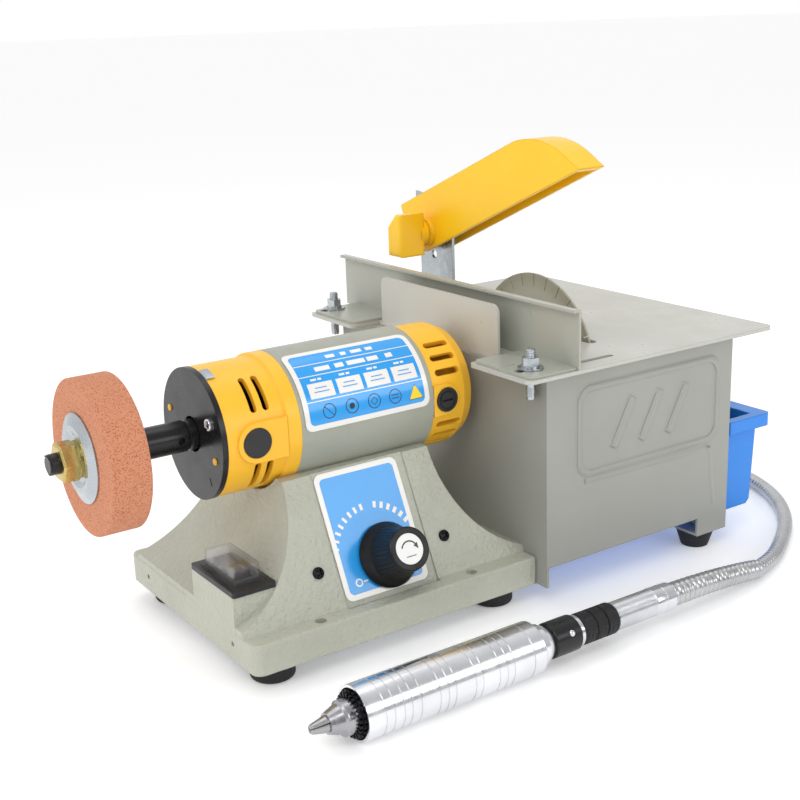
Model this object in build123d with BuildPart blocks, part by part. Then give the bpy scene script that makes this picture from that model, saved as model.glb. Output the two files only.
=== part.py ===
"""Small bench lathe for cutting and polishing stones, with a flexible shaft beside it.

A motor lies on a cast pedestal. Its left end turns a grinding wheel, and its right end turns a
saw blade inside a sheet metal box with a table, a fence, a swinging guard and a water tray.

Sizes are in millimetres. Pieces are drawn from the front left bottom corner of the casting:
+X runs along the motor to the saw, +Y to the back, +Z up. save() then moves each piece into the
machine's own frame, whose origin is on the bench under the middle of the machine.
"""
import os
from math import atan2, ceil, cos, degrees, hypot, pi, radians, sin, sqrt, tan

from build123d import *

os.makedirs("parts", exist_ok=True)

# ---------------------------------------------------------------- driving dimensions
# pedestal casting
BASE_W = 166.5
BASE_D = 143.0
FLANGE_H = 15.3
CAST_WALL = 4.0
LEDGE_D = 10.3              # flat strip between the flange's edge and the foot of the sloping face
FACE_SLOPE = 0.496          # how far the sloping face moves back for each millimetre up
PEDESTAL_H = 75.0
WAIST_W = 86.0              # width of the pedestal where its sides stand upright
SWEEP_R = 60.0              # radius of the hollow sides
BOLT_SPACING_X = 89.5
BOLT_SPACING_Y = 131.0
BOLT_HOLE_R = 2.75
FOOT_H = 10.5
FOOT_R = 11.0
FOOT_INSET = 17.0
PLATE_T = 1.5
# motor
AXIS_Z = 98.0
SLEEVE_L = 78.0
SLEEVE_X = 52.0
SLEEVE_R = 34.0
SLEEVE_T = 2.5
CAP_R = 32.6
CAP_T = 3.0
LEFT_CAP_L = 39.0
RIGHT_CAP_L = 29.3
COVER_T = 2.9
COVER_R = 32.8
SHAFT_R = 4.0
BEARING_R = 11.0
BEARING_W = 7.0
ARBOR_R = 7.75
STUD_R = 5.0
# grinding wheel
WHEEL_R = 37.5
WHEEL_W = 19.0
WHEEL_X = -27.0             # right face of the wheel
# saw box and table
BOX_L = 135.5
BOX_D = 192.0
BOX_FRONT = -8.0
BOX_T = 1.5
BOX_SKIRT = 10.8            # height of the long walls' lower edge above the casting's bottom
TABLE_TOP = 116.6
TABLE_T = 2.0
TABLE_FRONT = -15.5
TABLE_D = 209.5
TABLE_OUT = 24.0            # the table beyond the box on the right
EAR_OUT = 17.5              # the ears beyond the box on the left
EAR_W = 49.0
TONGUE_H = 27.4
BLADE_R = 49.6
BLADE_T = 1.2
BLADE_IN = 59.2             # middle of the blade from the box's left wall
SLOT_W = 6.0
# fence
FENCE_IN = 14.5             # the fence from the box's left wall
FENCE_T = 1.5
FENCE_H = 31.0
FENCE_L = 217.0
LIP_W = 3.5
FENCE_BOLT_OUT = 4.5
FENCE_BOLT_R = 2.4
FENCE_SLOT_L = 17.0
# blade guard
GUARD_W = 18.0
GUARD_WALL = 2.2
GUARD_TILT = 23.4           # the raised guard's lower edge above the horizontal
PIVOT_Y = 162.5
PIVOT_Z = 162.0
STRIP_W = 33.0
STRIP_T = 1.8
# water tray
TRAY_OUT = 35.0             # the tray's rim beyond the box on the right
TRAY_T = 2.4
TRAY_FRONT = -3.5
TRAY_D = 182.0
TRAY_TOP = 62.0
# controls
KNOB_R = 16.5
KNOB_H = 22.0
KNOB_X = 85.6
KNOB_Z = 32.0
BEZEL_L = 45.5
BEZEL_W = 22.9
BEZEL_T = 2.6
BEZEL_Y = 18.4
BEZEL_TOP = 35.5
# flexible shaft and handpiece
SHEATH_D = 8.6
HAND_R = 12.9
HAND_L = 99.0
HAND_X = 16.5               # the handpiece's mouth
HAND_Y = -56.5
COIL_MEAN_R = 47.5
COIL_TURNS = 2
COIL_X = 296.0
COIL_Y = 262.0

# clearances
SLIP = 0.05                 # a seat that goes together by hand, on each side
RUN = 0.5                   # air round something that turns

# ---------------------------------------------------------------- places that follow from them
AXIS_Y = BASE_D / 2
BASE_MID_X = BASE_W / 2
SLEEVE_END = SLEEVE_X + SLEEVE_L
COVER_X = SLEEVE_X - LEFT_CAP_L - COVER_T
CAP_X = COVER_X + COVER_T
CAP_END = SLEEVE_END + RIGHT_CAP_L
BORE_R = SLEEVE_R - SLEEVE_T
THREAD_END = WHEEL_X - WHEEL_W - 16
BOX_X = BASE_W
BOX_END = BOX_X + BOX_L
TABLE_RIGHT = BOX_END + TABLE_OUT
TRAY_RIM_X = BOX_END + TRAY_OUT
EAR_LEFT = BOX_X - EAR_OUT
BLADE_X = BOX_X + BLADE_IN
FENCE_X = BOX_X + FENCE_IN
FENCE_BOLT_X = BOX_X - FENCE_BOLT_OUT
BOX_BACK = BOX_FRONT + BOX_D
TABLE_UNDER = TABLE_TOP - TABLE_T
TABLE_BACK = TABLE_FRONT + TABLE_D
TABLE_LEFT = BOX_X + BOX_T
FENCE_BACK = TABLE_FRONT + FENCE_L
FENCE_TOP = TABLE_TOP + FENCE_H
FLOOR = -FOOT_H
HAND_Z = FLOOR + HAND_R
SHEATH_Z = FLOOR + SHEATH_D / 2
ORIGIN = Vector(
    (THREAD_END + TRAY_RIM_X) / 2,
    (TABLE_FRONT + FENCE_BACK) / 2,
    FLOOR,
)


def save(name, piece):
    """Label a finished piece, move it into the machine's frame and write it."""
    solid = piece.part.moved(Location(-ORIGIN))
    solid.label = name
    export_step(solid, f"parts/{name}.step")


def across(x, y=AXIS_Y, z=AXIS_Z):
    """Plane across X through (x, y, z), with its own x along Y and its own y along Z."""
    return Plane(origin=(x, y, z), x_dir=(0, 1, 0), z_dir=(1, 0, 0))


def lengthwise(y=AXIS_Y, z=AXIS_Z):
    """Plane through a line along X, for profiles that are turned about that line."""
    return Plane(origin=(0, y, z), x_dir=(1, 0, 0), z_dir=(0, -1, 0))


def along_x(y=AXIS_Y, z=AXIS_Z):
    """The line along X that goes with lengthwise()."""
    return Axis((0, y, z), (1, 0, 0))


def face_y(z):
    """How far back the front sloping face is at height z."""
    return LEDGE_D + FACE_SLOPE * (z - FLANGE_H)


FACE_LEN = hypot(1, FACE_SLOPE)
FACE_OUT = (0, -1 / FACE_LEN, FACE_SLOPE / FACE_LEN)


def on_face(x, z, out=0.0):
    """Plane on the front sloping face at (x, z), its own y running up the slope."""
    centre = Vector(x, face_y(z), z) + Vector(*FACE_OUT) * out
    return Plane(origin=centre, x_dir=(1, 0, 0), z_dir=FACE_OUT)


# ================================================================ pedestal
FOOT_SPOTS = [
    (FOOT_INSET, FOOT_INSET),
    (BASE_W - FOOT_INSET, FOOT_INSET),
    (FOOT_INSET, BASE_D - FOOT_INSET),
    (BASE_W - FOOT_INSET, BASE_D - FOOT_INSET),
]
PEDESTAL_BACK = BASE_D - 2 * LEDGE_D
SWITCH_X = BEZEL_W / 2
SWITCH_Y = BEZEL_Y + BEZEL_L / 2
SWITCH_HOLE_W = 13.0
SWITCH_HOLE_L = 30.0
PANEL_SCREW_DX = 37.4
SCREW_R = 1.6
GLAND_X = 46.0
GLAND_Z = 7.2
GLAND_R = 4.6


def pedestal_outline(wall):
    """Front view of the pedestal, or of the hollow inside it when wall is not 0."""
    half = WAIST_W / 2 - wall
    sweep = SWEEP_R + wall
    low = FLANGE_H - 3 - (9 if wall else 0)
    top = PEDESTAL_H + (8 if wall == 0 else -13)
    centre_z = PEDESTAL_H
    reach = min(sweep * 0.999, centre_z - low)
    foot_half = half + sweep - sqrt(sweep ** 2 - reach ** 2)
    edge = BASE_MID_X - wall
    mid = sweep * sin(radians(45))
    right_foot = (BASE_MID_X + foot_half, centre_z - reach)
    right_waist = (BASE_MID_X + half, centre_z)
    left_waist = (BASE_MID_X - half, centre_z)
    left_foot = (BASE_MID_X - foot_half, centre_z - reach)
    with BuildSketch() as outline:
        with BuildLine():
            ThreePointArc(right_foot, (BASE_MID_X + half + sweep - mid, centre_z - mid), right_waist)
            if top > centre_z:
                Polyline(right_waist, (BASE_MID_X + half, top), (BASE_MID_X - half, top), left_waist)
            else:
                Line(right_waist, left_waist)
            ThreePointArc(left_waist, (BASE_MID_X - half - sweep + mid, centre_z - mid), left_foot)
            Line(left_foot, right_foot)
        make_face()
        with Locations((BASE_MID_X, centre_z)):
            Rectangle(2 * edge, 400, mode=Mode.INTERSECT)
    return outline.sketch


def pedestal_side(wall):
    """Side view of the pedestal, between its two sloping faces."""
    low = FLANGE_H - 3 - (9 if wall else 0)
    top = PEDESTAL_H + (8 if wall == 0 else -13)
    front_low = face_y(low) + wall
    front_top = face_y(top) + wall
    with BuildSketch() as outline:
        with BuildLine():
            Polyline(
                (front_low, low),
                (front_top, top),
                (BASE_D - front_top, top),
                (BASE_D - front_low, low),
                close=True,
            )
        make_face()
    return outline.sketch


BLOCK_FRONT_VIEW = pedestal_outline(0)
BLOCK_SIDE_VIEW = pedestal_side(0)
HOLLOW_FRONT_VIEW = pedestal_outline(CAST_WALL)
HOLLOW_SIDE_VIEW = pedestal_side(CAST_WALL + 0.6)


with BuildPart() as pedestal_block:
    with BuildSketch(Plane.XZ.offset(-BASE_D)):
        add(BLOCK_FRONT_VIEW)
    extrude(amount=BASE_D)
    with BuildSketch(Plane.YZ):
        add(BLOCK_SIDE_VIEW)
    extrude(amount=BASE_W, mode=Mode.INTERSECT)

with BuildPart() as pedestal_hollow:
    with BuildSketch(Plane.XZ.offset(-BASE_D)):
        add(HOLLOW_FRONT_VIEW)
    extrude(amount=BASE_D)
    with BuildSketch(Plane.YZ):
        add(HOLLOW_SIDE_VIEW)
    extrude(amount=BASE_W, mode=Mode.INTERSECT)

with BuildPart() as base_casting:
    with BuildSketch():
        with Locations((BASE_MID_X, AXIS_Y)):
            Rectangle(BASE_W, BASE_D)
    extrude(amount=FLANGE_H)
    fillet(base_casting.edges().filter_by(Axis.Z).group_by(Axis.X)[0], radius=5)
    fillet(base_casting.edges().filter_by(Axis.Z).group_by(Axis.X)[-1], radius=1.5)
    fillet(base_casting.edges().group_by(Axis.Z)[-1], radius=1.2)
    add(pedestal_block.part)
    # the block that carries the mains switch
    with BuildSketch(Plane.XY.offset(FLANGE_H - 2)):
        with Locations((SWITCH_X, SWITCH_Y)):
            Rectangle(BEZEL_W, BEZEL_L - 1.6)
    extrude(amount=BEZEL_TOP - BEZEL_T - FLANGE_H + 2)
    # flat top and the round cradle for the motor
    with BuildSketch(Plane.XY.offset(PEDESTAL_H)):
        with Locations((BASE_MID_X, AXIS_Y)):
            Rectangle(BASE_W, BASE_D)
    extrude(amount=40, mode=Mode.SUBTRACT)
    with BuildSketch(across(0)):
        Circle(SLEEVE_R + SLIP)
    extrude(amount=BASE_W, mode=Mode.SUBTRACT)
    # shallow panel for the control label
    with BuildSketch(on_face(BASE_MID_X, (FLANGE_H + PEDESTAL_H) / 2, 2)):
        Rectangle(54, 90)
    extrude(amount=-2.7, mode=Mode.SUBTRACT)
    # hollow underside
    with BuildSketch():
        with Locations((BASE_MID_X, AXIS_Y)):
            RectangleRounded(BASE_W - 2 * CAST_WALL, BASE_D - 2 * CAST_WALL, 3)
    extrude(amount=FLANGE_H - CAST_WALL, mode=Mode.SUBTRACT)
    add(pedestal_hollow.part, mode=Mode.SUBTRACT)
    with BuildSketch(Plane.XY.offset(FLANGE_H - CAST_WALL - 1)):
        with Locations((SWITCH_X, SWITCH_Y)):
            Rectangle(BEZEL_W - 6, BEZEL_L - 8)
    extrude(amount=BEZEL_TOP - BEZEL_T - 3 - FLANGE_H + CAST_WALL + 1, mode=Mode.SUBTRACT)
    # bosses for the feet and for the four bolt holes
    with BuildSketch(Plane.XY.offset(PLATE_T)):
        with Locations(*FOOT_SPOTS):
            Circle(6)
    extrude(amount=FLANGE_H - CAST_WALL - PLATE_T)
    with BuildSketch(Plane.XY.offset(PLATE_T)):
        with Locations((BASE_MID_X, AXIS_Y)):
            with GridLocations(BOLT_SPACING_X, BOLT_SPACING_Y, 2, 2):
                Circle(BOLT_HOLE_R + 2.4)
    extrude(amount=FLANGE_H - CAST_WALL - PLATE_T)
    with BuildSketch():
        with Locations((BASE_MID_X, AXIS_Y)):
            with GridLocations(BOLT_SPACING_X, BOLT_SPACING_Y, 2, 2):
                Circle(BOLT_HOLE_R)
    extrude(amount=FLANGE_H + 20, mode=Mode.SUBTRACT)
    with BuildSketch():
        with Locations(*FOOT_SPOTS):
            Circle(SCREW_R + SLIP)
    extrude(amount=FLANGE_H - CAST_WALL - 1, mode=Mode.SUBTRACT)
    # switch opening, knob bush hole, panel screw holes, cable hole and the side's tapped holes
    with BuildSketch(Plane.XY.offset(BEZEL_TOP - BEZEL_T - 8)):
        with Locations((SWITCH_X, SWITCH_Y)):
            Rectangle(SWITCH_HOLE_W, SWITCH_HOLE_L)
    extrude(amount=9, mode=Mode.SUBTRACT)
    with BuildSketch(on_face(KNOB_X, KNOB_Z, 2)):
        Circle(3.6)
    extrude(amount=-12, mode=Mode.SUBTRACT)
    for side in (-1, 1):
        with BuildSketch(on_face(BASE_MID_X + side * PANEL_SCREW_DX, KNOB_Z + 1, 2)):
            Circle(SCREW_R + SLIP)
        extrude(amount=-10, mode=Mode.SUBTRACT)
    with BuildSketch(Plane.XZ.offset(-BASE_D)):
        with Locations((GLAND_X, GLAND_Z)):
            Circle(GLAND_R + SLIP)
    extrude(amount=CAST_WALL + 2, mode=Mode.SUBTRACT)
    with BuildSketch(Plane.YZ):
        with Locations((23, 8.4), (BASE_D - 23, 8.4)):
            Circle(1.3)
    extrude(amount=CAST_WALL - 1, mode=Mode.SUBTRACT)
    with BuildSketch(Plane.YZ.offset(BASE_W)):
        with Locations((30, 8), (BASE_D - 30, 8)):
            Circle(SCREW_R + SLIP)
    extrude(amount=-CAST_WALL - 1, mode=Mode.SUBTRACT)
save("base_casting", base_casting)

with BuildPart() as base_bottom_plate:
    with BuildSketch():
        with Locations((BASE_MID_X, AXIS_Y)):
            RectangleRounded(BASE_W - 2 * CAST_WALL - 0.4, BASE_D - 2 * CAST_WALL - 0.4, 3)
            with GridLocations(BOLT_SPACING_X, BOLT_SPACING_Y, 2, 2):
                Circle(BOLT_HOLE_R + 0.3, mode=Mode.SUBTRACT)
        with Locations(*FOOT_SPOTS):
            Circle(SCREW_R + SLIP, mode=Mode.SUBTRACT)
        with Locations((BASE_MID_X, AXIS_Y)):
            with GridLocations(0, 12, 1, 5):
                SlotOverall(40, 4, mode=Mode.SUBTRACT)
    extrude(amount=PLATE_T)
save("base_bottom_plate", base_bottom_plate)

FOOT_BORE_R = 4.0
with BuildPart() as base_feet:
    with BuildSketch(Plane.XY.offset(FLOOR)):
        with Locations(*FOOT_SPOTS):
            Circle(FOOT_R)
    extrude(amount=FOOT_H)
    fillet(base_feet.edges().group_by(Axis.Z)[0], radius=2)
    with BuildSketch(Plane.XY.offset(FLOOR)):
        with Locations(*FOOT_SPOTS):
            Circle(FOOT_BORE_R)
    extrude(amount=4, mode=Mode.SUBTRACT)
    with BuildSketch(Plane.XY.offset(FLOOR)):
        with Locations(*FOOT_SPOTS):
            Circle(SCREW_R + SLIP)
    extrude(amount=FOOT_H, mode=Mode.SUBTRACT)
save("base_feet", base_feet)

# ================================================================ motor
BRUSH_X = SLEEVE_END + 8.5
PLUG_X = COVER_X + 17.8
PLUG_R = 7.4
BRUSH_CAP_R = 6.4
SPIGOT_L = 4.0
TIE_R = 2.0
TIE_AT = 27.0
VENT_W = 3.4
LEFT_BEARING_X = CAP_X + 4
RIGHT_BEARING_X = CAP_END - 4 - BEARING_W
HUB_R = BEARING_R + 3

with BuildPart() as motor_sleeve:
    with BuildSketch(across(SLEEVE_X)):
        Circle(SLEEVE_R)
        Circle(BORE_R, mode=Mode.SUBTRACT)
    extrude(amount=SLEEVE_L)
save("motor_sleeve", motor_sleeve)

CORE_X = SLEEVE_X + 12
CORE_L = SLEEVE_L - 24
CORE_BORE_R = 19.0
with BuildPart() as stator_core:
    with BuildSketch(across(CORE_X)):
        Circle(BORE_R - SLIP)
        Circle(CORE_BORE_R, mode=Mode.SUBTRACT)
        with Locations((0, TIE_AT), (0, -TIE_AT)):
            Circle(TIE_R + 0.2, mode=Mode.SUBTRACT)
        with Locations((CORE_BORE_R + 4, 0), (-CORE_BORE_R - 4, 0)):
            Rectangle(10, 14, mode=Mode.SUBTRACT)
    extrude(amount=CORE_L)
save("stator_core", stator_core)

COIL_T = 7.0
with BuildPart() as stator_coils:
    for start in (CORE_X - COIL_T, CORE_X + CORE_L):
        with BuildSketch(across(start)):
            for side in (-1, 1):
                with Locations((side * (CORE_BORE_R + 5), 0)):
                    RectangleRounded(9, 30, 3)
        extrude(amount=COIL_T)
    with BuildSketch(across(CORE_X)):
        with Locations((CORE_BORE_R + 5, 0), (-CORE_BORE_R - 5, 0)):
            Rectangle(7, 13)
    extrude(amount=CORE_L)
save("stator_coils", stator_coils)


def round_motor(x, angle, out, y=AXIS_Y, z=AXIS_Z):
    """Plane facing away from a line along X, at this angle above the front horizontal."""
    turn = radians(angle)
    normal = (0, -cos(turn), sin(turn))
    origin = Vector(x, y, z) + Vector(*normal) * out
    return Plane(origin=origin, x_dir=(1, 0, 0), z_dir=normal)


with BuildPart() as left_end_cap:
    with BuildSketch(lengthwise()):
        with BuildLine():
            Polyline(
                (CAP_X, 9.5),
                (CAP_X, CAP_R),
                (SLEEVE_X - 8, CAP_R),
                (SLEEVE_X - 7, CAP_R + 1.35),
                (SLEEVE_X, CAP_R + 1.35),
                (SLEEVE_X, BORE_R - SLIP),
                (SLEEVE_X + SPIGOT_L, BORE_R - SLIP),
                (SLEEVE_X + SPIGOT_L, BORE_R - 2.2),
                (CAP_X + CAP_T + 1, CAP_R - CAP_T),
                (CAP_X + CAP_T, HUB_R),
                (LEFT_BEARING_X + BEARING_W + 1, HUB_R),
                (LEFT_BEARING_X + BEARING_W + 1, BEARING_R + SLIP / 2),
                (LEFT_BEARING_X, BEARING_R + SLIP / 2),
                (LEFT_BEARING_X, 9.5),
                close=True,
            )
        make_face()
    revolve(axis=along_x())
    # raised pads for the two plugs, each with a bore through the wall
    for side in (-1, 1):
        flat = Plane(
            origin=(PLUG_X, AXIS_Y + side * (CAP_R + 1.2), AXIS_Z), x_dir=(1, 0, 0), z_dir=(0, side, 0)
        )
        with BuildSketch(flat):
            Circle(PLUG_R + 2.6)
        extrude(amount=-7)
        with BuildSketch(flat):
            with Locations(((SLEEVE_X - 7.5 - PLUG_X) / 2, 0)):
                Rectangle(SLEEVE_X - 7.5 - PLUG_X, 2 * PLUG_R + 5.2)
        extrude(amount=-4.5)
        with BuildSketch(flat):
            Circle(PLUG_R + SLIP)
        extrude(amount=-3.4, mode=Mode.SUBTRACT)
    for step in (0, 6.6):
        for angle in (42, -37, 138, -143):
            with BuildSketch(round_motor(PLUG_X + 1.3 + step, angle, CAP_R + 3)):
                SlotOverall(19, VENT_W, rotation=90)
            extrude(amount=-CAP_T - 5, mode=Mode.SUBTRACT)
    # bosses and holes for the long bolts
    for side in (-1, 1):
        with BuildSketch(across(CAP_X, z=AXIS_Z + side * TIE_AT)):
            Circle(TIE_R + 2)
        extrude(amount=LEFT_CAP_L - 2)
        with BuildSketch(across(CAP_X, z=AXIS_Z + side * TIE_AT)):
            Circle(TIE_R + SLIP)
        extrude(amount=LEFT_CAP_L + 2, mode=Mode.SUBTRACT)
        with BuildSketch(across(CAP_X, z=AXIS_Z + side * TIE_AT)):
            Circle(TIE_R + 1.7)
        extrude(amount=2.5, mode=Mode.SUBTRACT)
    # studs that show through the cover plate, and its two screw holes
    with BuildSketch(across(COVER_X - 0.6)):
        with Locations((-23.7, -8), (23.7, 8)):
            Circle(1.7)
    extrude(amount=COVER_T + 1.6)
    with BuildSketch(across(CAP_X)):
        with Locations((-19.8, 9.4), (19.8, -9.4)):
            Circle(SCREW_R + SLIP)
    extrude(amount=CAP_T + 3, mode=Mode.SUBTRACT)
save("left_end_cap", left_end_cap)

with BuildPart() as left_cover_plate:
    with BuildSketch(across(COVER_X)):
        Circle(COVER_R)
        Circle(ARBOR_R + 1.2, mode=Mode.SUBTRACT)
        with Locations((-23.7, -8), (23.7, 8)):
            Circle(1.7 + SLIP, mode=Mode.SUBTRACT)
        with Locations((-19.8, 9.4), (19.8, -9.4)):
            Circle(SCREW_R + SLIP, mode=Mode.SUBTRACT)
        with Locations((-17, -20)):
            SlotOverall(4.5, 0.9, rotation=68, mode=Mode.SUBTRACT)
    extrude(amount=COVER_T)
save("left_cover_plate", left_cover_plate)

with BuildPart() as right_end_cap:
    with BuildSketch(lengthwise()):
        with BuildLine():
            rim = Polyline(
                (SLEEVE_END - SPIGOT_L, BORE_R - 2.2),
                (SLEEVE_END - SPIGOT_L, BORE_R - SLIP),
                (SLEEVE_END, BORE_R - SLIP),
                (SLEEVE_END, CAP_R + 0.4),
                (CAP_END - 9, CAP_R + 0.4),
                (CAP_END - 2.5, CAP_R - 2.6),
                (CAP_END, CAP_R - 6.5),
                (CAP_END, SHAFT_R + 4),
                (RIGHT_BEARING_X + BEARING_W, SHAFT_R + 4),
                (RIGHT_BEARING_X + BEARING_W, BEARING_R + SLIP / 2),
                (RIGHT_BEARING_X - 1, BEARING_R + SLIP / 2),
                (RIGHT_BEARING_X - 1, HUB_R),
                (CAP_END - CAP_T, HUB_R),
                (CAP_END - CAP_T, CAP_R - 9),
                (CAP_END - 8, CAP_R - CAP_T),
                close=True,
            )
        make_face()
    revolve(axis=along_x())
    for side in (-1, 1):
        flat = Plane(
            origin=(BRUSH_X, AXIS_Y + side * (CAP_R + 1.0), AXIS_Z), x_dir=(1, 0, 0), z_dir=(0, side, 0)
        )
        with BuildSketch(flat):
            Circle(BRUSH_CAP_R + 1.9)
        extrude(amount=-8)
        with BuildSketch(flat):
            with Locations(((SLEEVE_END + 0.5 - BRUSH_X) / 2, 0)):
                Rectangle(BRUSH_X - SLEEVE_END - 0.5, 2 * BRUSH_CAP_R + 3.8)
        extrude(amount=-4.5)
        with BuildSketch(flat):
            Circle(BRUSH_CAP_R + SLIP)
        extrude(amount=-4, mode=Mode.SUBTRACT)
        with BuildSketch(flat):
            Rectangle(8 + 2 * SLIP, 9 + 2 * SLIP)
        extrude(amount=-12, mode=Mode.SUBTRACT)
    for angle in (25, 39, 53, -25, -39, -53, 127, 141, 155, -127, -141, -155):
        with BuildSketch(round_motor(BRUSH_X + 3, angle, CAP_R + 3)):
            SlotOverall(15, VENT_W)
        extrude(amount=-CAP_T - 5, mode=Mode.SUBTRACT)
    for side in (-1, 1):
        with BuildSketch(across(SLEEVE_END, z=AXIS_Z + side * (TIE_AT - 0.4))):
            Circle(TIE_R + 2)
        extrude(amount=14)
        with BuildSketch(across(SLEEVE_END, z=AXIS_Z + side * TIE_AT)):
            Circle(TIE_R + SLIP)
        extrude(amount=12, mode=Mode.SUBTRACT)
save("right_end_cap", right_end_cap)

with BuildPart() as motor_tie_bolts:
    for side in (-1, 1):
        with BuildSketch(across(CAP_X + 0.6, z=AXIS_Z + side * TIE_AT)):
            Circle(TIE_R + 1.5)
        extrude(amount=1.9)
        with BuildSketch(across(CAP_X + 2.5, z=AXIS_Z + side * TIE_AT)):
            Circle(TIE_R)
        extrude(amount=SLEEVE_END + 11 - CAP_X - 2.5)
save("motor_tie_bolts", motor_tie_bolts)

with BuildPart() as bearings:
    for start in (LEFT_BEARING_X, RIGHT_BEARING_X):
        with BuildSketch(across(start)):
            Circle(BEARING_R)
            Circle(BEARING_R - 2, mode=Mode.SUBTRACT)
        extrude(amount=BEARING_W)
        with BuildSketch(across(start)):
            Circle(SHAFT_R + 2.2)
            Circle(SHAFT_R + SLIP / 2, mode=Mode.SUBTRACT)
        extrude(amount=BEARING_W)
        with BuildSketch(across(start + 1)):
            Circle(BEARING_R - 2)
            Circle(SHAFT_R + 2.2, mode=Mode.SUBTRACT)
        extrude(amount=BEARING_W - 2)
save("bearings", bearings)

COMMUTATOR_R = 11.0
BRUSH_LEN = 13.0
BRUSH_IN = COMMUTATOR_R + 0.1
HOLDER_IN = COMMUTATOR_R + 2.5
HOLDER_OUT = CAP_R + 1.0 - 4
with BuildPart() as brush_holders:
    for side in (-1, 1):
        start = Plane(
            origin=(BRUSH_X, AXIS_Y + side * HOLDER_IN, AXIS_Z), x_dir=(1, 0, 0), z_dir=(0, side, 0)
        )
        with BuildSketch(start):
            Rectangle(8, 9)
            Rectangle(6, 7, mode=Mode.SUBTRACT)
        extrude(amount=HOLDER_OUT - HOLDER_IN)
SPRING_IN = BRUSH_IN + BRUSH_LEN
with BuildPart() as brush_springs:
    for side in (-1, 1):
        start = Plane(
            origin=(BRUSH_X, AXIS_Y + side * SPRING_IN, AXIS_Z), x_dir=(1, 0, 0), z_dir=(0, side, 0)
        )
        for coil in range(3):
            with BuildSketch(start.offset(coil * 1.7)):
                Circle(2.6)
                Circle(1.7, mode=Mode.SUBTRACT)
            extrude(amount=1.1)
        with BuildSketch(start):
            with Locations((2.15, 0)):
                Circle(0.42)
        extrude(amount=HOLDER_OUT - SPRING_IN)

with BuildPart() as brush_gear:
    add(brush_holders.part)
    add(brush_springs.part)
save("brush_gear", brush_gear)

with BuildPart() as carbon_brushes:
    for side in (-1, 1):
        start = Plane(
            origin=(BRUSH_X, AXIS_Y + side * BRUSH_IN, AXIS_Z), x_dir=(1, 0, 0), z_dir=(0, side, 0)
        )
        with BuildSketch(start):
            Rectangle(6 - 2 * SLIP, 7 - 2 * SLIP)
        extrude(amount=BRUSH_LEN)
save("carbon_brushes", carbon_brushes)

with BuildPart() as brush_caps:
    for side in (-1, 1):
        seat = Plane(
            origin=(BRUSH_X, AXIS_Y + side * HOLDER_OUT, AXIS_Z), x_dir=(1, 0, 0), z_dir=(0, side, 0)
        )
        with BuildSketch(seat):
            Circle(BRUSH_CAP_R)
        extrude(amount=4.8)
        with BuildSketch(seat.offset(4.8)):
            Circle(BRUSH_CAP_R - 1.2)
            Circle(BRUSH_CAP_R - 2.2, mode=Mode.SUBTRACT)
        extrude(amount=-0.6, mode=Mode.SUBTRACT)
        with BuildSketch(seat.offset(4.8)):
            Rectangle(6.5, 1.2)
        extrude(amount=-1, mode=Mode.SUBTRACT)
save("brush_caps", brush_caps)

with BuildPart() as vent_plugs:
    for side in (-1, 1):
        seat = Plane(
            origin=(PLUG_X, AXIS_Y + side * (CAP_R - 2.2), AXIS_Z), x_dir=(1, 0, 0), z_dir=(0, side, 0)
        )
        with BuildSketch(seat):
            Circle(PLUG_R)
        extrude(amount=3.9)
    fillet(vent_plugs.edges().group_by(Axis.Y)[0], radius=0.4)
    fillet(vent_plugs.edges().group_by(Axis.Y)[-1], radius=0.4)
save("vent_plugs", vent_plugs)

NAME_ANGLES = (-1.0, 72.0)
LABEL_T = 0.4
with BuildPart() as nameplate:
    with BuildSketch(across(SLEEVE_X + 2)):
        with BuildLine():
            spots = []
            for radius in (SLEEVE_R + 0.02, SLEEVE_R + LABEL_T):
                for angle in (NAME_ANGLES[0], sum(NAME_ANGLES) / 2, NAME_ANGLES[1]):
                    turn = radians(angle)
                    spots.append((-radius * cos(turn), radius * sin(turn)))
            ThreePointArc(spots[0], spots[1], spots[2])
            ThreePointArc(spots[3], spots[4], spots[5])
            Line(spots[0], spots[3])
            Line(spots[2], spots[5])
        make_face()
    extrude(amount=SLEEVE_L - 5)
save("nameplate", nameplate)

# ---------------------------------------------------------------- what turns
SAW_SHAFT_R = 6.0
BLADE_LEFT = BLADE_X - BLADE_T / 2
FLANGE_T = 4.0
SHAFT_END = BLADE_X + 15
ARBOR_END = WHEEL_X + 1.5
with BuildPart() as motor_shaft:
    with BuildSketch(across(-10)):
        Circle(SHAFT_R)
    extrude(amount=CAP_END + 2 + 10)
    with BuildSketch(across(CAP_END + 2)):
        Circle(SAW_SHAFT_R)
    extrude(amount=BLADE_LEFT - FLANGE_T - CAP_END - 2)
    with BuildSketch(across(BLADE_LEFT - FLANGE_T)):
        Circle(SHAFT_R)
    extrude(amount=SHAFT_END - BLADE_LEFT + FLANGE_T)
save("motor_shaft", motor_shaft)

ARMATURE_R = CORE_BORE_R - RUN
with BuildPart() as armature_core:
    with BuildSketch(across(CORE_X + 3)):
        Circle(ARMATURE_R)
        with PolarLocations(ARMATURE_R, 12):
            Rectangle(5, 2.2, mode=Mode.SUBTRACT)
        Circle(SHAFT_R + SLIP / 2, mode=Mode.SUBTRACT)
    extrude(amount=CORE_L - 6)
save("armature_core", armature_core)

WINDING_L = 8.0
with BuildPart() as armature_windings:
    for start in (CORE_X + 3 - WINDING_L, CORE_X + CORE_L - 3):
        with BuildSketch(across(start)):
            Circle(ARMATURE_R - 2.5)
            Circle(SHAFT_R + SLIP / 2, mode=Mode.SUBTRACT)
        extrude(amount=WINDING_L)
    fillet(armature_windings.edges().filter_by(GeomType.CIRCLE).group_by(SortBy.RADIUS)[-1], radius=3)
save("armature_windings", armature_windings)

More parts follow.
